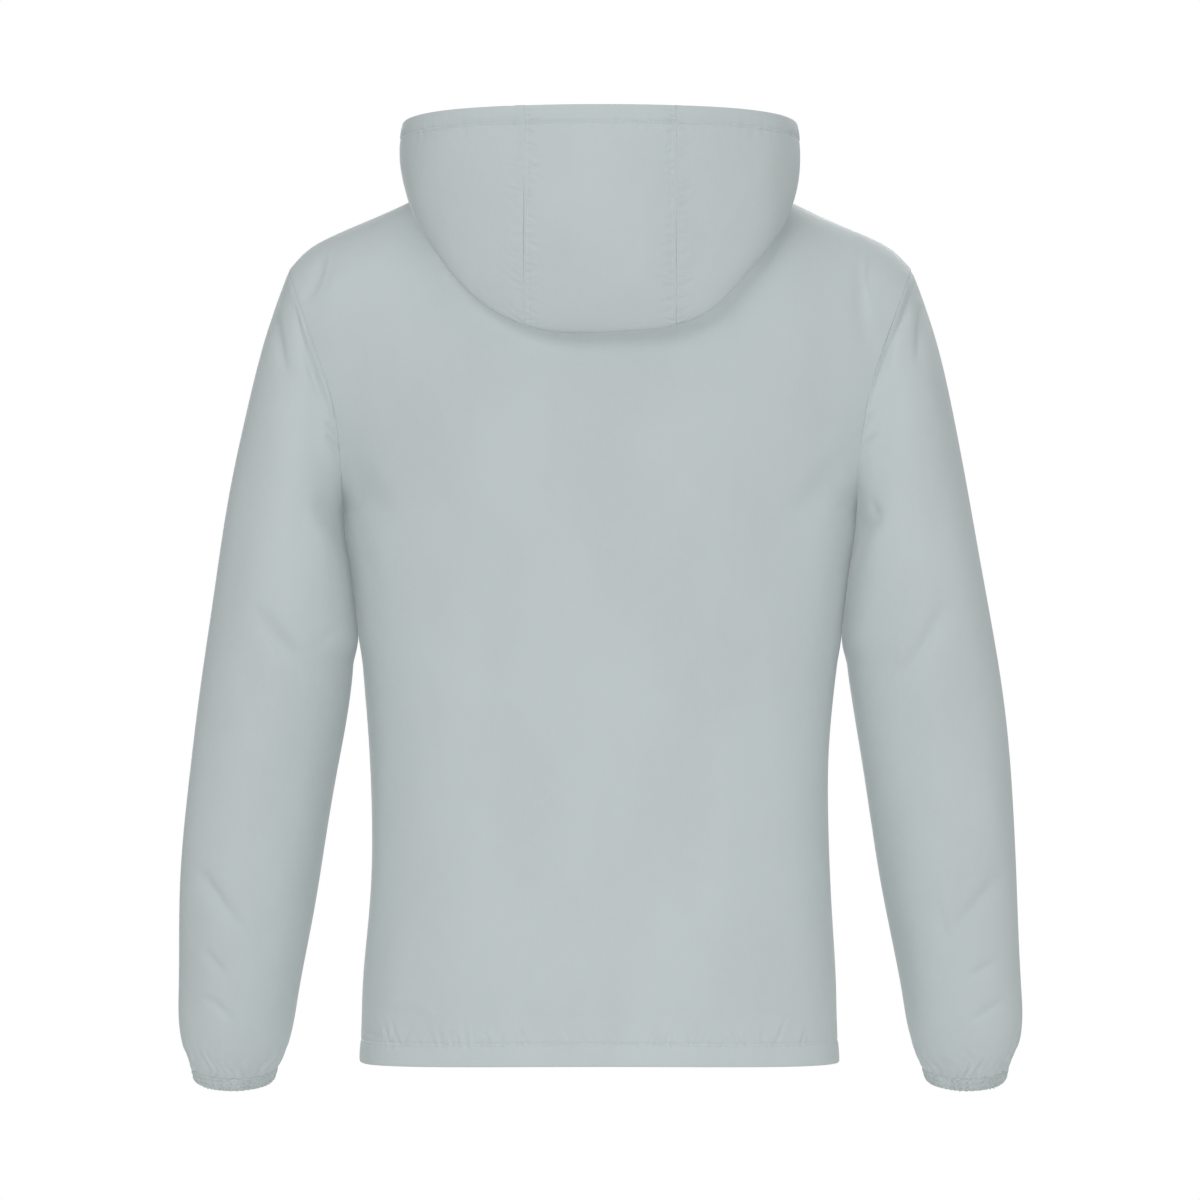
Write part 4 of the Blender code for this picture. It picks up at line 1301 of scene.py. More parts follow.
# The creases that show on the trunk, from the wearer's left to right and from the top down.
TRUNK_CREASES = creases(
    View.BEHIND,
    (((0.2120, -0.0650), (0.2168, -0.0860), (0.2235, -0.1080),
      (0.2300, -0.1180)), 1.2, 2.4, 0.3, 0.8),
    (((-0.2110, -0.0700), (-0.2100, -0.0920), (-0.2170, -0.1230)), 1.1, 2.4, -0.3, 0.8),
    (((0.1772, -0.6773), (0.1693, -0.6695), (0.1576, -0.6663), (0.1435, -0.6671),
      (0.1341, -0.6726), (0.1278, -0.6804)), 1.1, 3.2, 0.4, 0.6),
    (((0.1880, -0.6920), (0.1790, -0.6938), (0.1678, -0.6946)), -1.1, 1.8, 0.0, 0.7),
    (((-0.1500, -0.6790), (-0.1420, -0.6720), (-0.1300, -0.6700),
      (-0.1190, -0.6760)), 0.9, 3.2, 0.4, 0.6),
    (((0.2159, -0.0758), (0.2230, -0.0956), (0.2317, -0.1155)), -2.5, 8),
    (((-0.2135, -0.0798), (-0.2095, -0.1012), (-0.2159, -0.1488),
      (-0.2198, -0.1552)), -2.4, 9, 0.3),
    (((0.1960, -0.2350), (0.1830, -0.2640), (0.1600, -0.3000)), -2.6, 15, 0.2),
    (((-0.1950, -0.2280), (-0.1790, -0.2560), (-0.1480, -0.2960)), -2.8, 16, -0.2),
    (((0.1990, -0.2700), (0.1900, -0.2980), (0.1760, -0.3420)), -1.3, 7),
    (((-0.1990, -0.2640), (-0.1880, -0.2860), (-0.1790, -0.3280)), -1.4, 7),
    (((0.1010, -0.2600), (0.1120, -0.4000), (0.1060, -0.5600), (0.1140, -0.6700)), 1.5, 24),
    (((-0.0960, -0.3000), (-0.1050, -0.4300), (-0.0990, -0.6000), (-0.1080, -0.6800)), 1.4, 22),
    (((0.0330, -0.3700), (0.0270, -0.5200), (0.0350, -0.6600)), -1.2, 26),
    (((-0.0420, -0.4100), (-0.0360, -0.5400), (-0.0450, -0.6700)), -1.1, 24),
) + creases(
    View.IN_FRONT,
    (((0.2000, -0.0850), (0.1890, -0.1230), (0.1820, -0.1700)), -4.1, 9, 0.3, 0.5),
    (((-0.1980, -0.0820), (-0.1900, -0.1200), (-0.1790, -0.1760)), -3.8, 10, 0.3, 0.5),
    (((0.1900, -0.2400), (0.1620, -0.2840), (0.1200, -0.3300)), -4.6, 14, 0.3, 0.5),
    (((-0.1900, -0.2360), (-0.1560, -0.2800), (-0.1150, -0.3180)), -4.3, 13, -0.2, 0.5),
    (((0.1920, -0.2700), (0.1760, -0.3180), (0.1480, -0.3720)), -2.3, 7, 0.3, 0.5),
    (((-0.1930, -0.2760), (-0.1800, -0.3200), (-0.1560, -0.3600)), -2.2, 8, 0.3, 0.5),
    (((0.1080, -0.3300), (0.1010, -0.4600), (0.1090, -0.6500)), 2.2, 17, 0.3, 0.5),
    (((-0.1020, -0.3500), (-0.1110, -0.4900), (-0.1040, -0.6600)), 2.0, 19, 0.3, 0.5),
    (((0.0450, -0.4100), (0.0520, -0.5400), (0.0430, -0.6700)), -1.9, 15, 0.3, 0.5),
    (((-0.0500, -0.4400), (-0.0440, -0.5600), (-0.0530, -0.6800)), -1.7, 16, 0.3, 0.5),
)

# The creases of the sleeves: those of the left, of the right, and those worked out for the front.
SLEEVE_CREASES = {
    Half.LEFT: creases(
        View.BEHIND,
        (((0.2389, -0.1083), (0.2325, -0.1314), (0.2246, -0.1552), (0.2159, -0.1790),
          (0.2095, -0.2004), (0.2063, -0.2147)), 2.6, 3.6, 0.3, 0.7),
        (((0.2420, -0.1115), (0.2365, -0.1377), (0.2286, -0.1671), (0.2190, -0.1909),
          (0.2103, -0.2083), (0.2055, -0.2226)), -3.2, 4.2, -0.3, 0.8),
        (((0.2571, -0.1195), (0.2524, -0.1472), (0.2468, -0.1726)), -2.2, 5, 0.4, 0.5),
        (((0.2182, -0.2099), (0.2120, -0.2160), (0.2047, -0.2226)), -2.0, 2.4, 0.2, 0.8),
        (((0.2174, -0.2187), (0.2110, -0.2270), (0.2047, -0.2345)), -2.0, 2.4, 0.2, 0.8),
        (((0.2143, -0.2028), (0.2100, -0.2080), (0.2047, -0.2131)), -1.8, 2.4, 0.2, 0.8),
        (((0.2270, -0.3853), (0.2111, -0.3750), (0.1928, -0.3591)), -2.5, 6, 0.5, 0.5),
        (((0.2720, -0.3550), (0.2560, -0.3760), (0.2360, -0.4000)), -3.0, 9, 0.5, 0.4),
        (((0.3198, -0.5623), (0.3024, -0.5877), (0.2817, -0.6131)), -3.2, 7, 0.5, 0.6),
        (((0.3159, -0.6289), (0.3060, -0.6390), (0.2976, -0.6480)), -2.2, 4.5, 0.4, 0.6),
        (((0.3198, -0.6678), (0.3071, -0.6718), (0.2936, -0.6853)), -2.4, 4, 0.4, 0.7),
        (((0.2571, -0.3972), (0.2600, -0.4450), (0.2627, -0.4964)), 1.2, 14),
        (((0.2350, -0.2500), (0.2390, -0.2900), (0.2350, -0.3300)), -1.2, 12),
    ),
    Half.RIGHT: creases(
        View.BEHIND,
        (((-0.2428, -0.0956), (-0.2413, -0.1036), (-0.2317, -0.1274), (-0.2214, -0.1536),
          (-0.2111, -0.1806), (-0.2079, -0.1909)), 2.6, 3.6, -0.3, 0.7),
        (((-0.2468, -0.1020), (-0.2413, -0.1250), (-0.2317, -0.1456), (-0.2214, -0.1695),
          (-0.2095, -0.2044), (-0.2071, -0.2147)), -3.2, 4.2, 0.3, 0.8),
        (((-0.2555, -0.1115), (-0.2532, -0.1377), (-0.2508, -0.1647)), -2.2, 5, -0.4, 0.5),
        (((-0.2071, -0.2147), (-0.2110, -0.2080), (-0.2159, -0.2012)), -2.0, 2.4, 0.2, 0.8),
        (((-0.2055, -0.2329), (-0.2130, -0.2240), (-0.2214, -0.2171)), -2.0, 2.4, 0.2, 0.8),
        (((-0.2159, -0.2702), (-0.2190, -0.2810), (-0.2214, -0.2917)), -1.8, 4, 0.2, 0.6),
        (((-0.2730, -0.3496), (-0.2571, -0.3813), (-0.2373, -0.4099)), -3.2, 8, -0.5, 0.5),
        (((-0.3200, -0.5660), (-0.3010, -0.5880), (-0.2800, -0.6120)), -2.6, 7, -0.4, 0.5),
        (((-0.3182, -0.6353), (-0.3060, -0.6430), (-0.2928, -0.6512)), -2.3, 4.5, -0.4, 0.6),
        (((-0.3246, -0.6686), (-0.3110, -0.6760), (-0.2968, -0.6869)), -2.4, 4, -0.4, 0.7),
        (((-0.2690, -0.5877), (-0.2730, -0.6080), (-0.2770, -0.6274)), -1.5, 4.5, 0.3, 0.6),
        (((-0.2600, -0.4100), (-0.2660, -0.4600), (-0.2700, -0.5200)), 1.2, 14),
        (((-0.2360, -0.2450), (-0.2420, -0.2860), (-0.2390, -0.3250)), -1.2, 12),
    ),
}
SLEEVE_FRONT_CREASES = creases(
    View.IN_FRONT,
    (((0.2500, -0.1200), (0.2330, -0.1680), (0.2140, -0.2200)), 3.4, 4, 0.3, 0.6),
    (((0.2540, -0.1260), (0.2380, -0.1740), (0.2170, -0.2260)), -3.6, 4, 0.3, 0.6),
    (((0.3020, -0.3500), (0.2640, -0.3740), (0.2220, -0.3920)), -4.3, 8, 0.3, 0.6),
    (((0.3080, -0.4120), (0.2700, -0.4240), (0.2320, -0.4280)), -3.4, 8, 0.3, 0.6),
    (((0.2920, -0.3840), (0.2620, -0.3980), (0.2380, -0.4080)), 1.9, 5, 0.3, 0.6),
    (((0.3220, -0.5900), (0.2980, -0.6140), (0.2700, -0.6300)), -3.4, 8, 0.3, 0.6),
    (((0.3160, -0.6500), (0.2960, -0.6620), (0.2760, -0.6800)), -2.2, 5, 0.3, 0.6),
    (((0.2500, -0.2500), (0.2560, -0.2900), (0.2520, -0.3300)), -1.7, 9, 0.3, 0.6),
)


@dataclass(frozen=True)
class Leaning:
    """Below the underarm the sleeve rests on the body: the cloth of both swells until it meets.

    Window holds four heights: the swelling starts at the first, is full from the second to the
    third, and ends at the last. Spread widens it round each piece, and reach is the share of the
    sleeve, from the armhole, that is measured.
    """

    sleeve: SleeveForm = SleeveForm()
    window: tuple[float, ...] = (-0.403, -0.376, -0.287, -0.277)
    sleeve_share: float = 0.8
    spread: float = 1.1
    reach: float = 0.7
    ring_points: int = 120
    sleeve_rows: int = 141
    flank_rows: int = 201

    def gap(self, z: Array) -> Array:
        """How far apart the sleeve and the side of the body hang at these heights."""
        rings = self.sleeve.rings(self.ring_points, np.linspace(0, self.reach, self.sleeve_rows))
        inner = rings[np.arange(len(rings)), rings[..., 0].argmin(axis=1)]
        heights = np.linspace(0, 1, self.flank_rows)
        flank = self.sleeve.body.surface(np.array([1.0]), heights, View.BEHIND)[:, 0]
        apart = np.interp(-z, -inner[:, 2], inner[:, 0]) - np.interp(z, flank[:, 2], flank[:, 0])
        return np.maximum(apart, 0)

    def worked_in(self, panel: Panel, height: Array, share: float, outwards: int) -> Array:
        """A panel's relief with the swelling worked in, where its cloth faces the other piece.

        Args:
            panel: The panel of cloth.
            height: Its relief so far.
            share: How much of the gap this cloth closes.
            outwards: 1 for the body, which swells away from the centre line, -1 for a sleeve.

        Returns:
            The new relief.
        """
        x, z = panel.points[..., 0], panel.points[..., 2]
        low, full_low, full_high, high = self.window
        level = soft_step(np.minimum((z - low) / (full_low - low), (high - z) / (high - full_high)))
        facing = np.clip(self.spread * outwards * np.sign(x) * panel.out[..., 0], 0, 1) ** 2
        there = level * facing
        return height * (1 - there) + share * self.gap(z) * there


@dataclass
class Trunk(Sewing):
    """The back and the two fronts, with the casing of their hem."""

    body: BodyForm = BodyForm()
    column_step: float = 1.55 * MM
    row_step: float = 4.0 * MM
    fine_step: float = 1.5 * MM
    fine_zones: Spot = (0.045, 0.020)
    neck_run: float = 0.105
    shoulder_run: float = 0.160
    casing: float = 18.0 * MM
    puff: float = 0.5 * MM
    zip_gap: float = 4.5 * MM
    zip_spread: float = 0.10
    zip_stitch: float = 6.5 * MM
    zip_stitch_start: float = 20.0 * MM
    calm: float = 8.0 * MM
    edge_fade: float = 2.0 * MM
    ease_passes: int = 60
    neck_ease: float = 0.040
    # The hem's folds, above its line of stitches and within its casing. Each panel seeds them.
    above: Puckers = Puckers(0, 5.5 * MM, 1.5 * MM, (4 * MM, 15 * MM), 1.30 * MM, slant=0.6)
    within: Puckers = Puckers(0, 4.5 * MM, 1.3 * MM, (6 * MM, 3 * MM), 0.55 * MM)
    back_seed: int = 11
    front_seed: int = 21
    # Near the middle of a panel they have only this share of their depth: out to the first
    # distance, and growing to the full over the second.
    quiet_share: float = 0.35
    quiet: Spot = (0.020, 0.030)
    stitch_hollow: Spot = (1.1 * MM, 0.75 * MM)
    leaning: Leaning = Leaning()
    drift: Drift = Drift(seed=5, size=1.1 * MM)
    back_cut: Cut = Cut(0.530, 0.800, 0.385)
    front_cut: Cut = Cut(0.270, 0.800, 0.186)

    def half(self, view: View) -> tuple[Array, Array]:
        """Half a panel before its folds, and the shares of its columns."""
        neck_columns = round(self.neck_run / self.column_step)
        neck = np.linspace(0, self.body.neck_share, neck_columns + 1)
        shoulder_columns = round(self.shoulder_run / self.column_step)
        shoulder = np.linspace(self.body.neck_share, 1, shoulder_columns + 1)
        shares = np.concatenate([neck, shoulder[1:]])
        length = float(runs(self.body.rows(np.array([0.5]), view))[-1, 0])
        heights = spaced(length, self.row_step, self.fine_step, self.fine_zones)
        keep = np.clip((heights - 1) * length / self.neck_ease + 1, 0, 1)
        return eased(self.body.surface(shares, heights, view), self.ease_passes, keep), shares

    def folded(self, panel: Panel, seed: int) -> Panel:
        """The panel with its creases, its pulled hem and the hollow of the hem's stitches."""
        u, v = panel.uv()
        beside = np.minimum(u - u[:, :1], u[:, -1:] - u)
        calm = soft_step(np.minimum(beside, v[-1:] - v) / self.calm)
        height = self.drift.relief(panel.points)
        for crease in TRUNK_CREASES:
            height += crease.relief(panel.points, panel.out) * calm
        height = self.leaning.worked_in(panel, height, 1 - self.leaning.sleeve_share, 1)
        away = v - self.casing
        hem = replace(self.above, seed=seed).relief(u, away)
        hem += replace(self.within, seed=seed + 1).relief(u, away)
        start, over = self.quiet
        hem *= self.quiet_share + (1 - self.quiet_share) * np.clip((np.abs(u) - start) / over, 0, 1)
        hem += hollow(away, *self.stitch_hollow)
        hem += self.puff * np.sin(math.pi * np.clip(v / self.casing, 0, 1)) ** 0.7
        return panel.raised(height + hem * np.clip(beside / self.edge_fade, 0, 1))

    def back(self) -> None:
        """The back, cut in one."""
        half, _ = self.half(View.BEHIND)
        whole = np.concatenate([half[:, :0:-1] * (-1, 1, 1), half], axis=1)
        panel = self.folded(Panel("back_cloth", whole), self.back_seed)
        hem_line = cropped(panel.line(panel.uv()[1], self.casing, self.lift))
        hem = self.sew("back_hem_stitches", hem_line, self.thread.material("back_thread"))
        panel.turned(Edge.FOOT, HEM_FOLD).turned(Edge.TOP, SEAM_FOLD)
        panel.turned(Edge.FIRST, SEAM_FOLD).turned(Edge.LAST, SEAM_FOLD)
        thing = panel.build(self.cloth.material("back_shell"))
        self.declare(thing, "back", "back_cloth", self.back_cut, [hem])

    def front(self, side: Half) -> None:
        """One front, from the zip to the side seam."""
        name, turn = f"front_{side.word}", int(side)
        half, shares = self.half(View.IN_FRONT)
        half[:, :, 0] += self.zip_gap * np.clip(1 - shares / self.zip_spread, 0, 1)
        panel = Panel(f"{name}_cloth", half, facing=-1).cut_for(side)
        panel = self.folded(panel, self.front_seed + side)
        u, away = panel.uv()
        thread = self.thread.material(f"{name}_thread")
        hem_line = cropped(panel.line(away, self.casing, self.lift))
        hem = self.sew(f"{name}_hem_stitches", hem_line, thread)
        from_zip = u - u[:, :1] if side == Half.LEFT else u[:, -1:] - u
        points = panel.points.swapaxes(0, 1)[::turn]
        across = Panel("zip_side", points, facing=-panel.facing * turn)
        zip_line = across.line(from_zip.T[::turn], self.zip_stitch, self.lift)
        zip_line = cropped(zip_line, self.zip_stitch_start)
        down = self.sew(f"{name}_zip_stitches", zip_line, thread)
        centre, beside = (Edge.FIRST, Edge.LAST)[::turn]
        panel.turned(Edge.FOOT, HEM_FOLD).turned(Edge.TOP, SEAM_FOLD)
        panel.turned(centre, SOFT_FOLD).turned(beside, SEAM_FOLD)
        thing = panel.build(self.cloth.material(f"{name}_shell"))
        self.declare(thing, name, f"{name}_cloth", self.front_cut, [hem, down])

    def build(self) -> None:
        """Makes the back and both fronts."""
        self.back()
        for side in Half:
            self.front(side)


def cropped(
    line: tuple[Array, Array], start: float = 1.5 * MM, end: float = 1.5 * MM
) -> tuple[Array, Array]:
    """A line with a little taken off both ends, so that no stitch lies in a seam.

    Args:
        line: Its points, and the directions out of the cloth there.
        start: How much is taken off its start.
        end: How much is taken off its end.

    Returns:
        The shorter line's points and directions.
    """
    spots, outs = line
    run = runs(spots)
    at = np.linspace(start, run[-1] - end, len(run))
    return read(spots, run, at), read(outs, run, at)


@dataclass
class Sleeves(Sewing):
    """Both sleeves, each with the elastic band that gathers its end."""

    form: SleeveForm = SleeveForm()
    elastic: ElasticCloth = ElasticCloth()
    columns: int = 210
    row_step: float = 3.0 * MM
    fine_step: float = 1.2 * MM
    length: float = 0.650
    fine_zones: Spot = (0.030, 0.060)
    around: float = 0.220
    calm: float = 5.0 * MM
    edge_fade: float = 2.0 * MM
    drift_fade: float = 0.030
    drift: Drift = Drift(seed=5, size=1.1 * MM)
    leaning: Leaning = Leaning()
    # The folds that the band gathers: how far up and how deep they go, the number round the
    # sleeve of the fine and the broad ones, and the seeds that they and the puckers start from.
    gather_reach: float = 0.050
    gather_depth: float = 1.5 * MM
    fine_gathers: int = 26
    broad_gathers: int = 13
    gather_seeds: tuple[int, int] = (31, 41)
    pucker_seed: int = 51
    puckers: Puckers = Puckers(0, 6.5 * MM, 2.0 * MM, (4 * MM, 14 * MM), 0.7 * MM, slant=0.25)
    seam_hollow: Spot = (0.9 * MM, 0.7 * MM)
    cuff_columns: int = 352
    cuff_rows: int = 16
    cuff_drop: float = 0.3 * MM
    cuff_height: float = 11.0 * MM
    cuff_taper: float = 0.92
    ruche: float = 0.75 * MM
    broad_ruche: int = 44
    fine_ruche: int = 83
    ruche_seeds: tuple[int, int] = (61, 71)
    sleeve_cut: Cut = Cut(0.400, 0.665, 0.216)
    cuff_cut: Cut = Cut(0.330, 0.024, 0.0079)
    # How the band goes on up inside the sleeve, as (depth, height).
    tongue: tuple[Spot, ...] = in_mm((3.2, 8.0), (3.0, 4.0), (2.4, 1.4), (1.4, 0.5), (0.5, 0.1))

    def irregular(self, angle: Array, count: int, seed: int) -> Array:
        """A wave round a ring whose crests are unevenly spaced and unevenly high.

        Args:
            angle: The places round the ring.
            count: The number of crests.
            seed: The start of its chance.

        Returns:
            The wave's height at each place, from about -1 to 1.
        """
        rng = np.random.default_rng(seed)
        drift = sum(
            rng.uniform(0.2, 0.5) * np.sin(k * angle + rng.uniform(0, 6.28)) for k in (2, 3, 5, 7)
        )
        size = 1 + sum(0.22 * np.sin(k * angle + rng.uniform(0, 6.28)) for k in (3, 7, 11))
        return size * np.cos(count * angle + 1.8 * drift)

    def gathered(self, angle: Array, from_end: Array, side: Half) -> Array:
        """The folds that the elastic band gathers into the end of a sleeve.

        Args:
            angle: The places round the sleeve.
            from_end: How far from the sleeve's end each point lies.
            side: The sleeve's half.

        Returns:
            A height for each point, in metres.
        """
        rest = np.clip(from_end / self.gather_reach, 0, 1)
        swell = (1 - rest) ** 1.5 * np.clip(from_end / (1.5 * MM), 0.35, 1)
        twist = angle + 0.10 * np.sin(3 * angle + 9 * rest)
        fine_seed, broad_seed = self.gather_seeds
        folds = self.irregular(twist, self.fine_gathers, fine_seed + side) * (1 - rest) ** 1.2
        folds += 0.6 * self.irregular(twist, self.broad_gathers, broad_seed + side)
        return self.gather_depth * swell * folds * 0.6

    def sleeve(self, side: Half) -> None:
        """One sleeve, from the armhole to its elastic band."""
        name = f"sleeve_{side.word}"
        shares = spaced(self.length, self.row_step, self.fine_step, self.fine_zones)
        rings = self.form.rings(self.columns, shares)
        panel = Panel(f"{name}_cloth", rings, ring=True).cut_for(side)
        _, v = panel.uv()
        from_end = v[-1:] - v
        angle = turns(self.columns)[None, :: int(side)]
        calm = soft_step(np.minimum(v, from_end) / self.calm)
        height = self.drift.relief(panel.points) * np.clip(from_end / self.drift_fade, 0, 1)
        front = (
            replace(crease, path=tuple((x * side, z) for x, z in crease.path))
            for crease in SLEEVE_FRONT_CREASES
        )
        for crease in (*SLEEVE_CREASES[side], *front):
            height += crease.relief(panel.points, panel.out) * calm
        height += self.gathered(angle, from_end, side)
        u = angle / (2 * math.pi) * self.around + 0 * v
        puckers = replace(self.puckers, seed=self.pucker_seed + side)
        height += puckers.relief(u, from_end, self.around)
        height += hollow(np.abs(u - self.around / 2), *self.seam_hollow)
        height = self.leaning.worked_in(panel, height, self.leaning.sleeve_share, -1)
        panel.raised(height * np.clip(v / self.edge_fade, 0, 1))
        panel.turned(Edge.FOOT, SEAM_FOLD).turned(Edge.TOP, SEAM_FOLD)
        thing = panel.build(self.cloth.material(f"{name}_shell"))
        self.declare(thing, name, f"{name}_cloth", self.sleeve_cut)

    def cuff(self, side: Half) -> None:
        """The elastic band of one sleeve, drawn in and ruched."""
        ends = np.array([0.97, 1.0])
        above, end = self.form.rings(self.cuff_columns, ends, at_armhole=False)
        middle = end.mean(axis=0)
        down = unit(middle - above.mean(axis=0))
        angle = turns(self.cuff_columns)[None]
        shares = np.linspace(0, 1, self.cuff_rows + 1)[:, None]
        wander = angle + 0.035 * np.sin(5 * shares * math.pi + 4 * angle)
        broad_seed, fine_seed = self.ruche_seeds
        ruche = 0.7 * self.irregular(wander, self.broad_ruche, broad_seed + side)
        ruche += 0.6 * self.irregular(wander, self.fine_ruche, fine_seed + side)
        rows = 0.55 + 0.45 * np.sin(2 * math.pi * shares) ** 2
        size = 1 + (self.cuff_taper - 1) * shares
        fall = (self.cuff_height * shares + self.cuff_drop)[..., None] * down
        points = middle + (end - middle)[None] * size[..., None] + fall
        name = f"cuff_{side.word}"
        panel = Panel(f"{name}_band", points, ring=True)
        panel.raised(self.ruche * ruche * rows + 0.5 * MM * np.sin(math.pi * shares))
        inside = [end - unit(end - middle) * depth - down * rise for depth, rise in self.tongue]
        points = np.concatenate([inside, panel.points])
        panel = Panel(panel.name, points, ring=True).cut_for(side).turned(Edge.TOP, BAND_FOLD)
        thing = panel.build(self.elastic.material(f"{name}_elastic_cloth"))
        self.declare(thing, name, f"{name}_elastic", self.cuff_cut)

    def build(self) -> None:
        """Makes both sleeves and both bands."""
        for side in Half:
            self.sleeve(side)
            self.cuff(side)


@dataclass
class Hood(Sewing):
    """The hood let down behind: a centre panel between two side panels, and the brim's casing."""

    form: HoodForm = HoodForm()
    length: float = 0.400
    row_step: float = 3.2 * MM
    fine_step: float = 1.4 * MM
    fine_zones: Spot = (0.020, 0.200)
    side_columns: int = 212
    centre_columns: int = 42
    casing: float = 14.0 * MM
    puff: float = 0.7 * MM
    zip_gap: float = 4.5 * MM
    zip_spread: float = 0.035
    topstitch: float = 3.5 * MM
    topstitch_end: float = 3.0 * MM
    edge_fade: float = 1.5 * MM
    # The folds along the brim's stitches, the seams and the neck. Each panel adds its own seed.
    brim: Puckers = Puckers(0, 5.5 * MM, 1.5 * MM, (6 * MM, 9 * MM), 0.95 * MM, slant=0.5)
    pulled: Puckers = Puckers(
        3, 4.8 * MM, 1.4 * MM, (4.5 * MM, 10 * MM), 1.0 * MM, calm=0.25, slant=0.5
    )
    neck: Puckers = Puckers(5, 9.0 * MM, 2.6 * MM, (4 * MM, 14 * MM), 0.45 * MM)
    centre_seed: int = 81
    side_seed: int = 91
    brim_hollow: Spot = (1.1 * MM, 0.75 * MM)
    seam_hollow: Spot = (0.9 * MM, 0.35 * MM)
    seam_ridge: Spot = (2.4 * MM, -0.30 * MM)
    drift: Drift = Drift(seed=8, size=0.9 * MM, across=(0.05, 0.13), down=(0.07, 0.2))
    side_cut: Cut = Cut(0.330, 0.400, 0.074)
    centre_cut: Cut = Cut(0.125, 0.420, 0.051)

    def folded(self, panel: Panel, seed: int, seams: tuple[bool, bool]) -> Panel:
        """A panel with its folds.

        Args:
            panel: The panel, its rows going from the neck seam to the brim.
            seed: The start of its chance.
            seams: Whether its first and last columns lie on a seam of the hood.

        Returns:
            The panel, folded.
        """
        u, v = panel.uv()
        from_brim = v[-1:] - v
        away = from_brim - self.casing
        height = self.drift.relief(panel.points)
        height *= np.clip(v / 0.030, 0, 1) * np.clip(from_brim / 0.020, 0.3, 1)
        brim, pulled, neck = (
            replace(puckers, seed=seed + puckers.seed)
            for puckers in (self.brim, self.pulled, self.neck)
        )
        height += brim.relief(u, away) + hollow(away, *self.brim_hollow)
        height += self.puff * np.sin(math.pi * np.clip(from_brim / self.casing, 0, 1)) ** 0.7
        for wanted, beside in zip(seams, (u - u[:, :1], u[:, -1:] - u)):
            if wanted:
                height += pulled.relief(v, beside - self.topstitch)
                height += hollow(beside, *self.seam_ridge)
                height += hollow(beside - self.topstitch, *self.seam_hollow)
                height *= np.clip(beside / self.edge_fade, 0.25, 1)
        height += neck.relief(u, v)
        return panel.raised(height * np.clip(v / self.edge_fade, 0, 1))

    def brim_row(self, panel: Panel, name: str, thread: bpy.types.Material) -> bpy.types.Object:
        """Sews the line of stitches that closes the brim's casing on one panel."""
        back = Panel("brim_side", panel.points[::-1], facing=-panel.facing)
        line = back.line(runs(back.points, axis=0), self.casing, self.lift)
        return self.sew(f"{name}_brim_stitches", cropped(line), thread)

    def build(self) -> None:
        """Makes the three panels and sews them."""
        rows = spaced(self.length, self.row_step, self.fine_step, self.fine_zones)
        side, centre = self.form.panels(rows, self.side_columns, self.centre_columns)
        shares = np.linspace(0, 1, self.side_columns + 1)
        side[:, :, 0] += self.zip_gap * np.clip(1 - shares / self.zip_spread, 0, 1)
        self.centre(centre)
        for half in Half:
            self.side(half, side)

    def centre(self, grid: Array) -> None:
        """The centre panel, topstitched along both of its seams and the brim."""
        panel = Panel("hood_centre_cloth", grid, facing=-1)
        panel = self.folded(panel, self.centre_seed, (True, True))
        thread = self.thread.material("hood_centre_thread")
        rows = [self.brim_row(panel, "hood_centre", thread)]
        for number, turn in enumerate((1, -1), start=1):
            points = panel.points[:, ::turn].swapaxes(0, 1)
            seam = Panel("seam_side", points, facing=-panel.facing * turn)
            away = runs(points, axis=0)
            for word, face in (("outer", 1), ("inner", -1)):
                line = seam.line(away, self.topstitch, self.lift, face)
                line = cropped(line, self.topstitch_end, self.topstitch_end)
                rows.append(self.sew(f"hood_seam_{number}_{word}_stitches", line, thread))
        panel.turned(Edge.TOP, BRIM_FOLD).turned(Edge.FOOT, SEAM_FOLD)
        panel.turned(Edge.FIRST, SEAM_FOLD).turned(Edge.LAST, SEAM_FOLD)
        thing = panel.build(self.cloth.material("hood_centre_shell"))
        self.declare(thing, "hood_centre", "hood_centre_cloth", self.centre_cut, rows)

    def side(self, half: Half, grid: Array) -> None:
        """One side panel."""
        name = f"hood_side_{half.word}"
        panel = Panel(f"{name}_cloth", grid, facing=-1).cut_for(half)
        seams = (half == Half.RIGHT, half == Half.LEFT)
        panel = self.folded(panel, self.side_seed + half, seams)
        brim = self.brim_row(panel, name, self.thread.material(f"{name}_thread"))
        panel.turned(Edge.TOP, BRIM_FOLD).turned(Edge.FOOT, SEAM_FOLD)
        centre, seam = (Edge.FIRST, Edge.LAST)[:: int(half)]
        panel.turned(centre, SOFT_FOLD).turned(seam, SEAM_FOLD)
        thing = panel.build(self.cloth.material(f"{name}_shell"))
        self.declare(thing, name, f"{name}_cloth", self.side_cut, [brim])


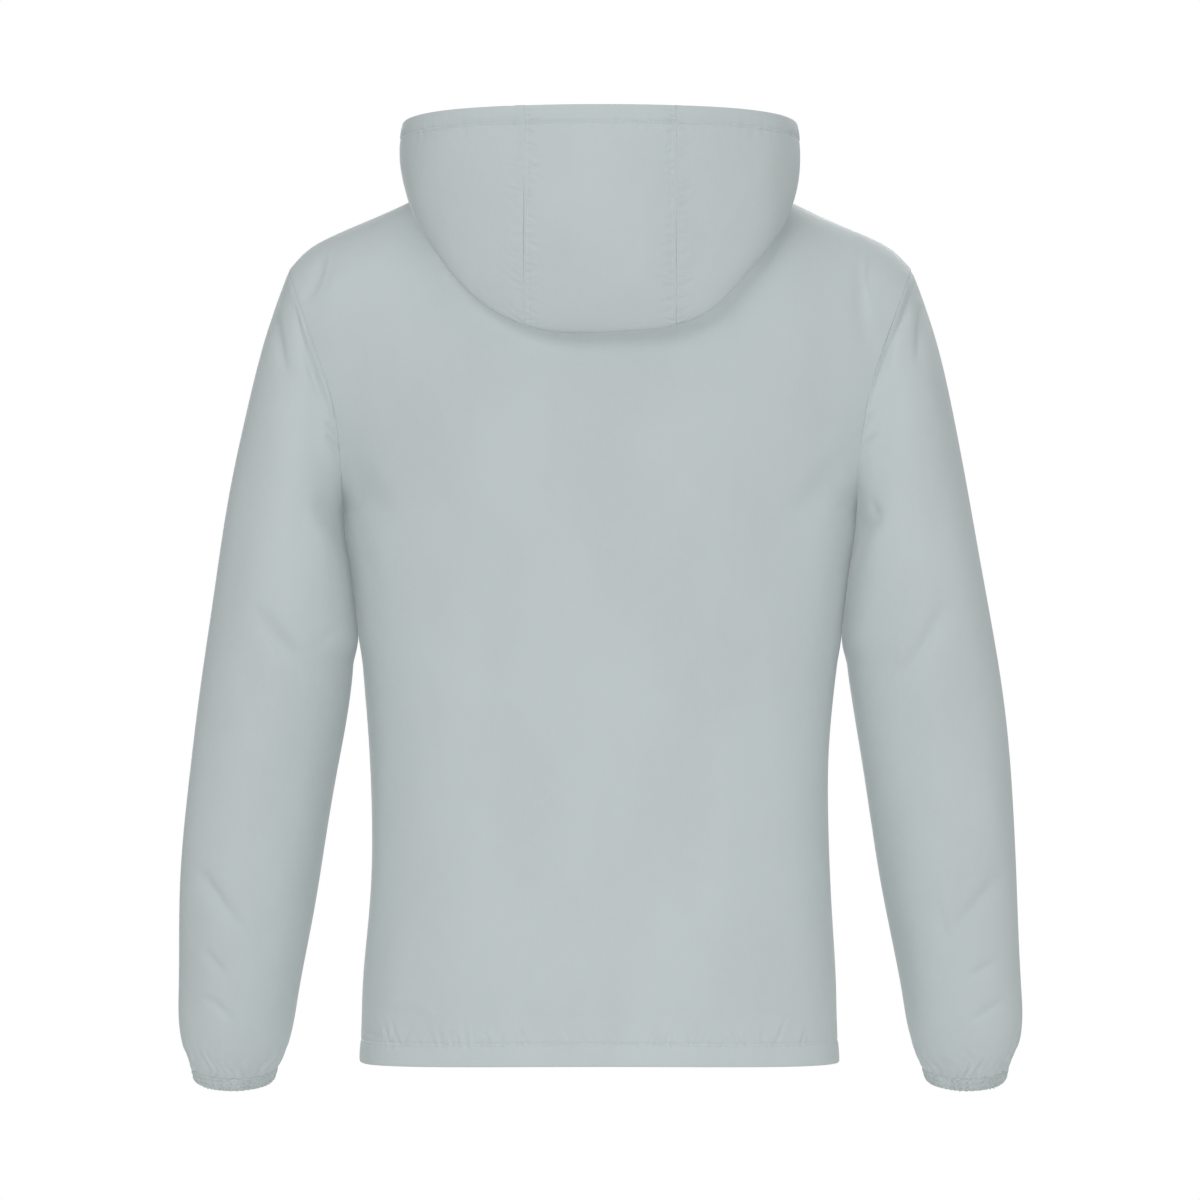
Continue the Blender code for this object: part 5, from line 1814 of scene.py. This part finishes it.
@dataclass
class Zip(Sewing):
    """The zip from the hem to the brim: two woven tapes, their teeth, the slider and its pull."""

    body: BodyForm = BodyForm()
    hood: HoodForm = HoodForm()
    weave: ZipWeave = ZipWeave()
    moulding: MouldedTeeth = MouldedTeeth()
    metal: PaintedMetal = PaintedMetal()
    end: float = 1.5 * MM
    pitch: float = 3.0 * MM
    tooth_depth: Spot = (0.6 * MM, 2.9 * MM)
    tooth_rim: float = 0.28 * MM
    tooth_face: float = 0.80
    tape_depth: float = 2.3 * MM
    tape_thickness: float = 0.5 * MM
    path_points: int = 320
    # Where the front and the hood's stand are measured: their rows, and the place beside the zip.
    front_rows: int = 120
    front_beside: float = 0.08
    stand_rows: int = 24
    stand_column: int = 14
    soft_edge: float = 0.22 * MM
    # The tape narrows along the hood's stand: its height there, and the share of its width left.
    narrowing: tuple[Spot, Spot] = ((-0.080, 1.0), (-0.070, 0.45))
    tape_cut: Cut = Cut(0.0115, 0.735, 0.0084)
    # The tape's front in section, as (from the zip's middle, above the tape), with its cord.
    tape_front: tuple[Spot, ...] = in_mm(
        (1.3, 0.2), (1.6, -0.35), (2.6, -0.35), (3.0, 0.0), (4.5, 0.0), (7.0, 0.0), (9.5, 0.0),
        (12.0, 0.0),
    )
    # Half a tooth seen from the front, as (from the zip's middle, along the zip).
    tooth: tuple[Spot, ...] = in_mm(
        (2.9, 0.80), (1.3, 0.80), (0.7, 0.48), (0.1, 0.55), (-0.5, 0.78), (-0.95, 0.50)
    )

    def edges(self) -> tuple[Array, Array]:
        """The left front's cut edge from the hem to the top of the stand, and a line beside it."""
        shares, heights = np.array([0.0, self.front_beside]), np.linspace(0, 1, self.front_rows)
        front = self.body.surface(shares, heights, View.IN_FRONT)
        stand = self.hood.surface(np.linspace(0, 1, self.stand_rows))[0]
        both = np.concatenate([front, stand[1:, [0, self.stand_column]]])
        return both[:, 0], both[:, 1]

    def path(self) -> tuple[Array, Array, Array]:
        """The cut edge of the left front and of the hood's stand, from the hem up.

        Returns:
            The points, the directions out of the front there, and those up the zip.
        """
        edge, _ = self.edges()
        run = runs(edge)
        line = read(edge, run, np.linspace(self.end, run[-1] - self.end, self.path_points))
        line[:, 0] = 0
        line = smoothed(line, 4)
        upwards = unit(np.gradient(line, axis=0))
        return line, unit(np.cross(upwards, (-1.0, 0.0, 0.0))), upwards

    def teeth(self, side: Half, path: tuple[Array, Array, Array]) -> bpy.types.Object:
        """One row of teeth, which stand between those of the other row."""
        line, out, upwards = path
        run = runs(line)
        first = self.pitch * (0.4 if side == Half.LEFT else 0.9)
        at = np.arange(first, run[-1] - self.pitch * 0.3, self.pitch)
        spots, outs, ups = (read(part, run, at) for part in (line, out, upwards))
        outs, ups = unit(outs), unit(ups)
        outline = np.array(self.tooth + tuple((x, -s) for x, s in self.tooth[::-1]))
        middle = outline.mean(axis=0)
        (near, far), rim, face = self.tooth_depth, self.tooth_rim, self.tooth_face
        layers = ((near, face), (near + rim, 1.0), (far - rim, 1.0), (far, face))
        flat = [middle + (outline - middle) * size for _, size in layers]
        count, points, faces = len(outline), [], []
        for n in range(len(at)):
            start = n * count * len(layers)
            for (depth, _), ring in zip(layers, flat):
                across = np.outer(ring[:, 0] * side, (1.0, 0.0, 0.0))
                points.append(spots[n] + across + np.outer(ring[:, 1], ups[n]) - outs[n] * depth)
            rings = [[start + k * count + i for i in range(count)] for k in range(len(layers))]
            for low, high in zip(rings, rings[1:]):
                for i in range(count):
                    after = (i + 1) % count
                    faces.append((low[i], low[after], high[after], high[i]))
            faces += [tuple(rings[0][::-1]), tuple(rings[-1])]
        name = f"zip_teeth_{side.word}"
        faces = [corners[:: -int(side)] for corners in faces]
        plastic = self.moulding.material(f"{name}_plastic")
        row = solid(name, np.concatenate(points), faces, plastic, smooth=False)
        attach(row, JACKET)
        LOG.info("%s: %d teeth, %d faces", name, len(at), len(faces))
        return row

    def tape(self, side: Half, path: tuple[Array, Array, Array]) -> None:
        """One tape, with the cord along its inner edge that the teeth grip."""
        line, out, _ = path
        front = np.array(self.tape_front) + (0, self.tape_depth)
        behind = front[::-1] + (0, self.tape_thickness)
        ring = np.concatenate([front, behind])
        heights, shares = zip(*self.narrowing)
        width = np.interp(line[:, 2], heights, shares)[:, None, None]
        inner = front[0, 0]
        across = inner + (ring[None, :, :1] - inner) * width
        slope = (self.slope(line) * (side, 1, 1))[:, None]
        grid = line[:, None] + across * slope - ring[None, :, 1:] * out[:, None]
        name = f"zip_tape_{side.word}"
        panel = Panel(f"{name}_ribbon", grid, facing=-int(side), ring=True)
        thing = panel.build(self.weave.material(f"{name}_dyed"))
        teeth = self.teeth(side, path)
        self.declare(thing, name, f"{name}_weave", self.tape_cut, [teeth])

    def slope(self, line: Array) -> Array:
        """Which way the front runs, away from the zip on the wearer's left, at each point."""
        edge, beside = self.edges()
        way = smoothed(unit(beside - edge), 6)
        return unit(read(way, edge[:, 2], line[:, 2]) * (1, 1, 0))

    def hardware(self) -> None:
        """Gives the slider and its pull soft edges and their paint."""
        for name, body in (("zip_slider", JACKET), ("zip_pull", "pull_tab")):
            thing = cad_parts[name]
            edges = thing.modifiers.new("soft edges", "BEVEL")
            edges.width, edges.segments, edges.limit_method = self.soft_edge, 2, "ANGLE"
            thing.material_slots[0].material = self.metal.material(f"{name}_paint")
            LOG.info("%s rides with %s", name, body)

    def build(self) -> None:
        """Makes the whole zip."""
        path = self.path()
        for side in Half:
            self.tape(side, path)
        self.hardware()


# ---------------------------------------------------------------- studio


@dataclass(frozen=True)
class Lamp:
    """A soft box: where it stands, its width and height, and its power in watts.

    One without shadows only lifts those of the others.
    """

    name: str
    at: Point
    size: Spot
    power: float
    shadows: bool = True


LAMPS = (
    Lamp("key", (1.3, 3.1, 1.4), (1.8, 1.6), 30),
    Lamp("lift_behind", (-0.4, 3.6, 0.1), (2.2, 2.0), 46, shadows=False),
    Lamp("lift_left", (2.8, 0.5, -0.1), (1.2, 2.0), 9, shadows=False),
    Lamp("lift_right", (-2.8, 0.5, -0.1), (1.2, 2.0), 13, shadows=False),
    Lamp("front", (-1.3, -3.1, 1.4), (1.8, 1.6), 30),
    Lamp("lift_front", (0.4, -3.6, 0.1), (2.2, 2.0), 46, shadows=False),
    Lamp("top", (0.0, 0.2, 2.6), (1.8, 1.8), 18),
)


@dataclass
class Studio:
    """A plain pale room with soft light, and the camera where the photograph's stood."""

    aim: Point = (0.0, 0.0, -0.35)
    level: float = -0.3496
    distance: float = 5.0
    lens: float = 187.5
    floor_z: float = -1.0
    floor_half: float = 1.2
    sky: float = 0.33

    def hang(self, lamp: Lamp) -> None:
        """Hangs a lamp so that it points at the middle of the jacket."""
        light = bpy.data.lights.new(lamp.name, "AREA")
        light.shape, light.size, light.size_y = "RECTANGLE", *lamp.size
        light.energy, light.use_shadow = lamp.power, lamp.shadows
        thing = place(lamp.name, light)
        thing.location = lamp.at
        way = Vector(self.aim) - Vector(lamp.at)
        thing.rotation_euler = way.to_track_quat("-Z", "Y").to_euler()

    def room(self) -> None:
        """A white backdrop that lights the jacket only softly, and a pale floor."""
        world = bpy.data.worlds.new("backdrop")
        world.use_nodes = True
        tree = world.node_tree
        paper = tree.nodes["Background"]
        paper.inputs["Color"].default_value = (1, 1, 1, 1)
        shade = tree.nodes.new("ShaderNodeBackground")
        shade.inputs["Color"].default_value = (0.96, 0.985, 1.0, 1)
        shade.inputs["Strength"].default_value = self.sky
        rays, choice = tree.nodes.new("ShaderNodeLightPath"), tree.nodes.new("ShaderNodeMixShader")
        tree.links.new(rays.outputs["Is Camera Ray"], choice.inputs[0])
        tree.links.new(shade.outputs[0], choice.inputs[1])
        tree.links.new(paper.outputs[0], choice.inputs[2])
        tree.links.new(choice.outputs[0], tree.nodes["World Output"].inputs["Surface"])
        bpy.context.scene.world = world
        graph = Graph("studio_floor")
        grain = graph.noise(graph.place("Object"), 0.05, 3.0)
        tone = graph.mix(grain, (0.83, 0.83, 0.83, 1), (0.85, 0.85, 0.85, 1))
        paint = graph.finished(base_color=tone, roughness=0.8)
        h, z = self.floor_half, self.floor_z
        corners = [(-h, -h, z), (h, -h, z), (h, h, z), (-h, h, z)]
        solid("floor", np.array(corners), [(0, 1, 2, 3)], paint, smooth=False)

    def camera(self) -> None:
        """The camera, level with the middle of the jacket, looking at its back."""
        data = bpy.data.cameras.new("camera")
        data.lens = self.lens
        data.sensor_width = 36
        thing = place("camera", data)
        thing.location = (0, self.distance, self.level)
        thing.rotation_euler = (math.pi / 2, 0, math.pi)
        bpy.context.scene.camera = thing

    def build(self) -> None:
        """Sets up the room, the lamps and the camera."""
        self.room()
        for lamp in LAMPS:
            self.hang(lamp)
        self.camera()
        bpy.context.scene.view_settings.view_transform = "Standard"


def main() -> None:
    """Builds the jacket and its studio, and logs the sizes of its pieces."""
    logging.basicConfig(level=logging.INFO, format="%(message)s")
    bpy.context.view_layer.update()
    for part in (Trunk(), Sleeves(), Hood(), Zip(), Studio()):
        part.build()
        LOG.info("%s is done", type(part).__name__)


if __name__ == "__main__":
    main()
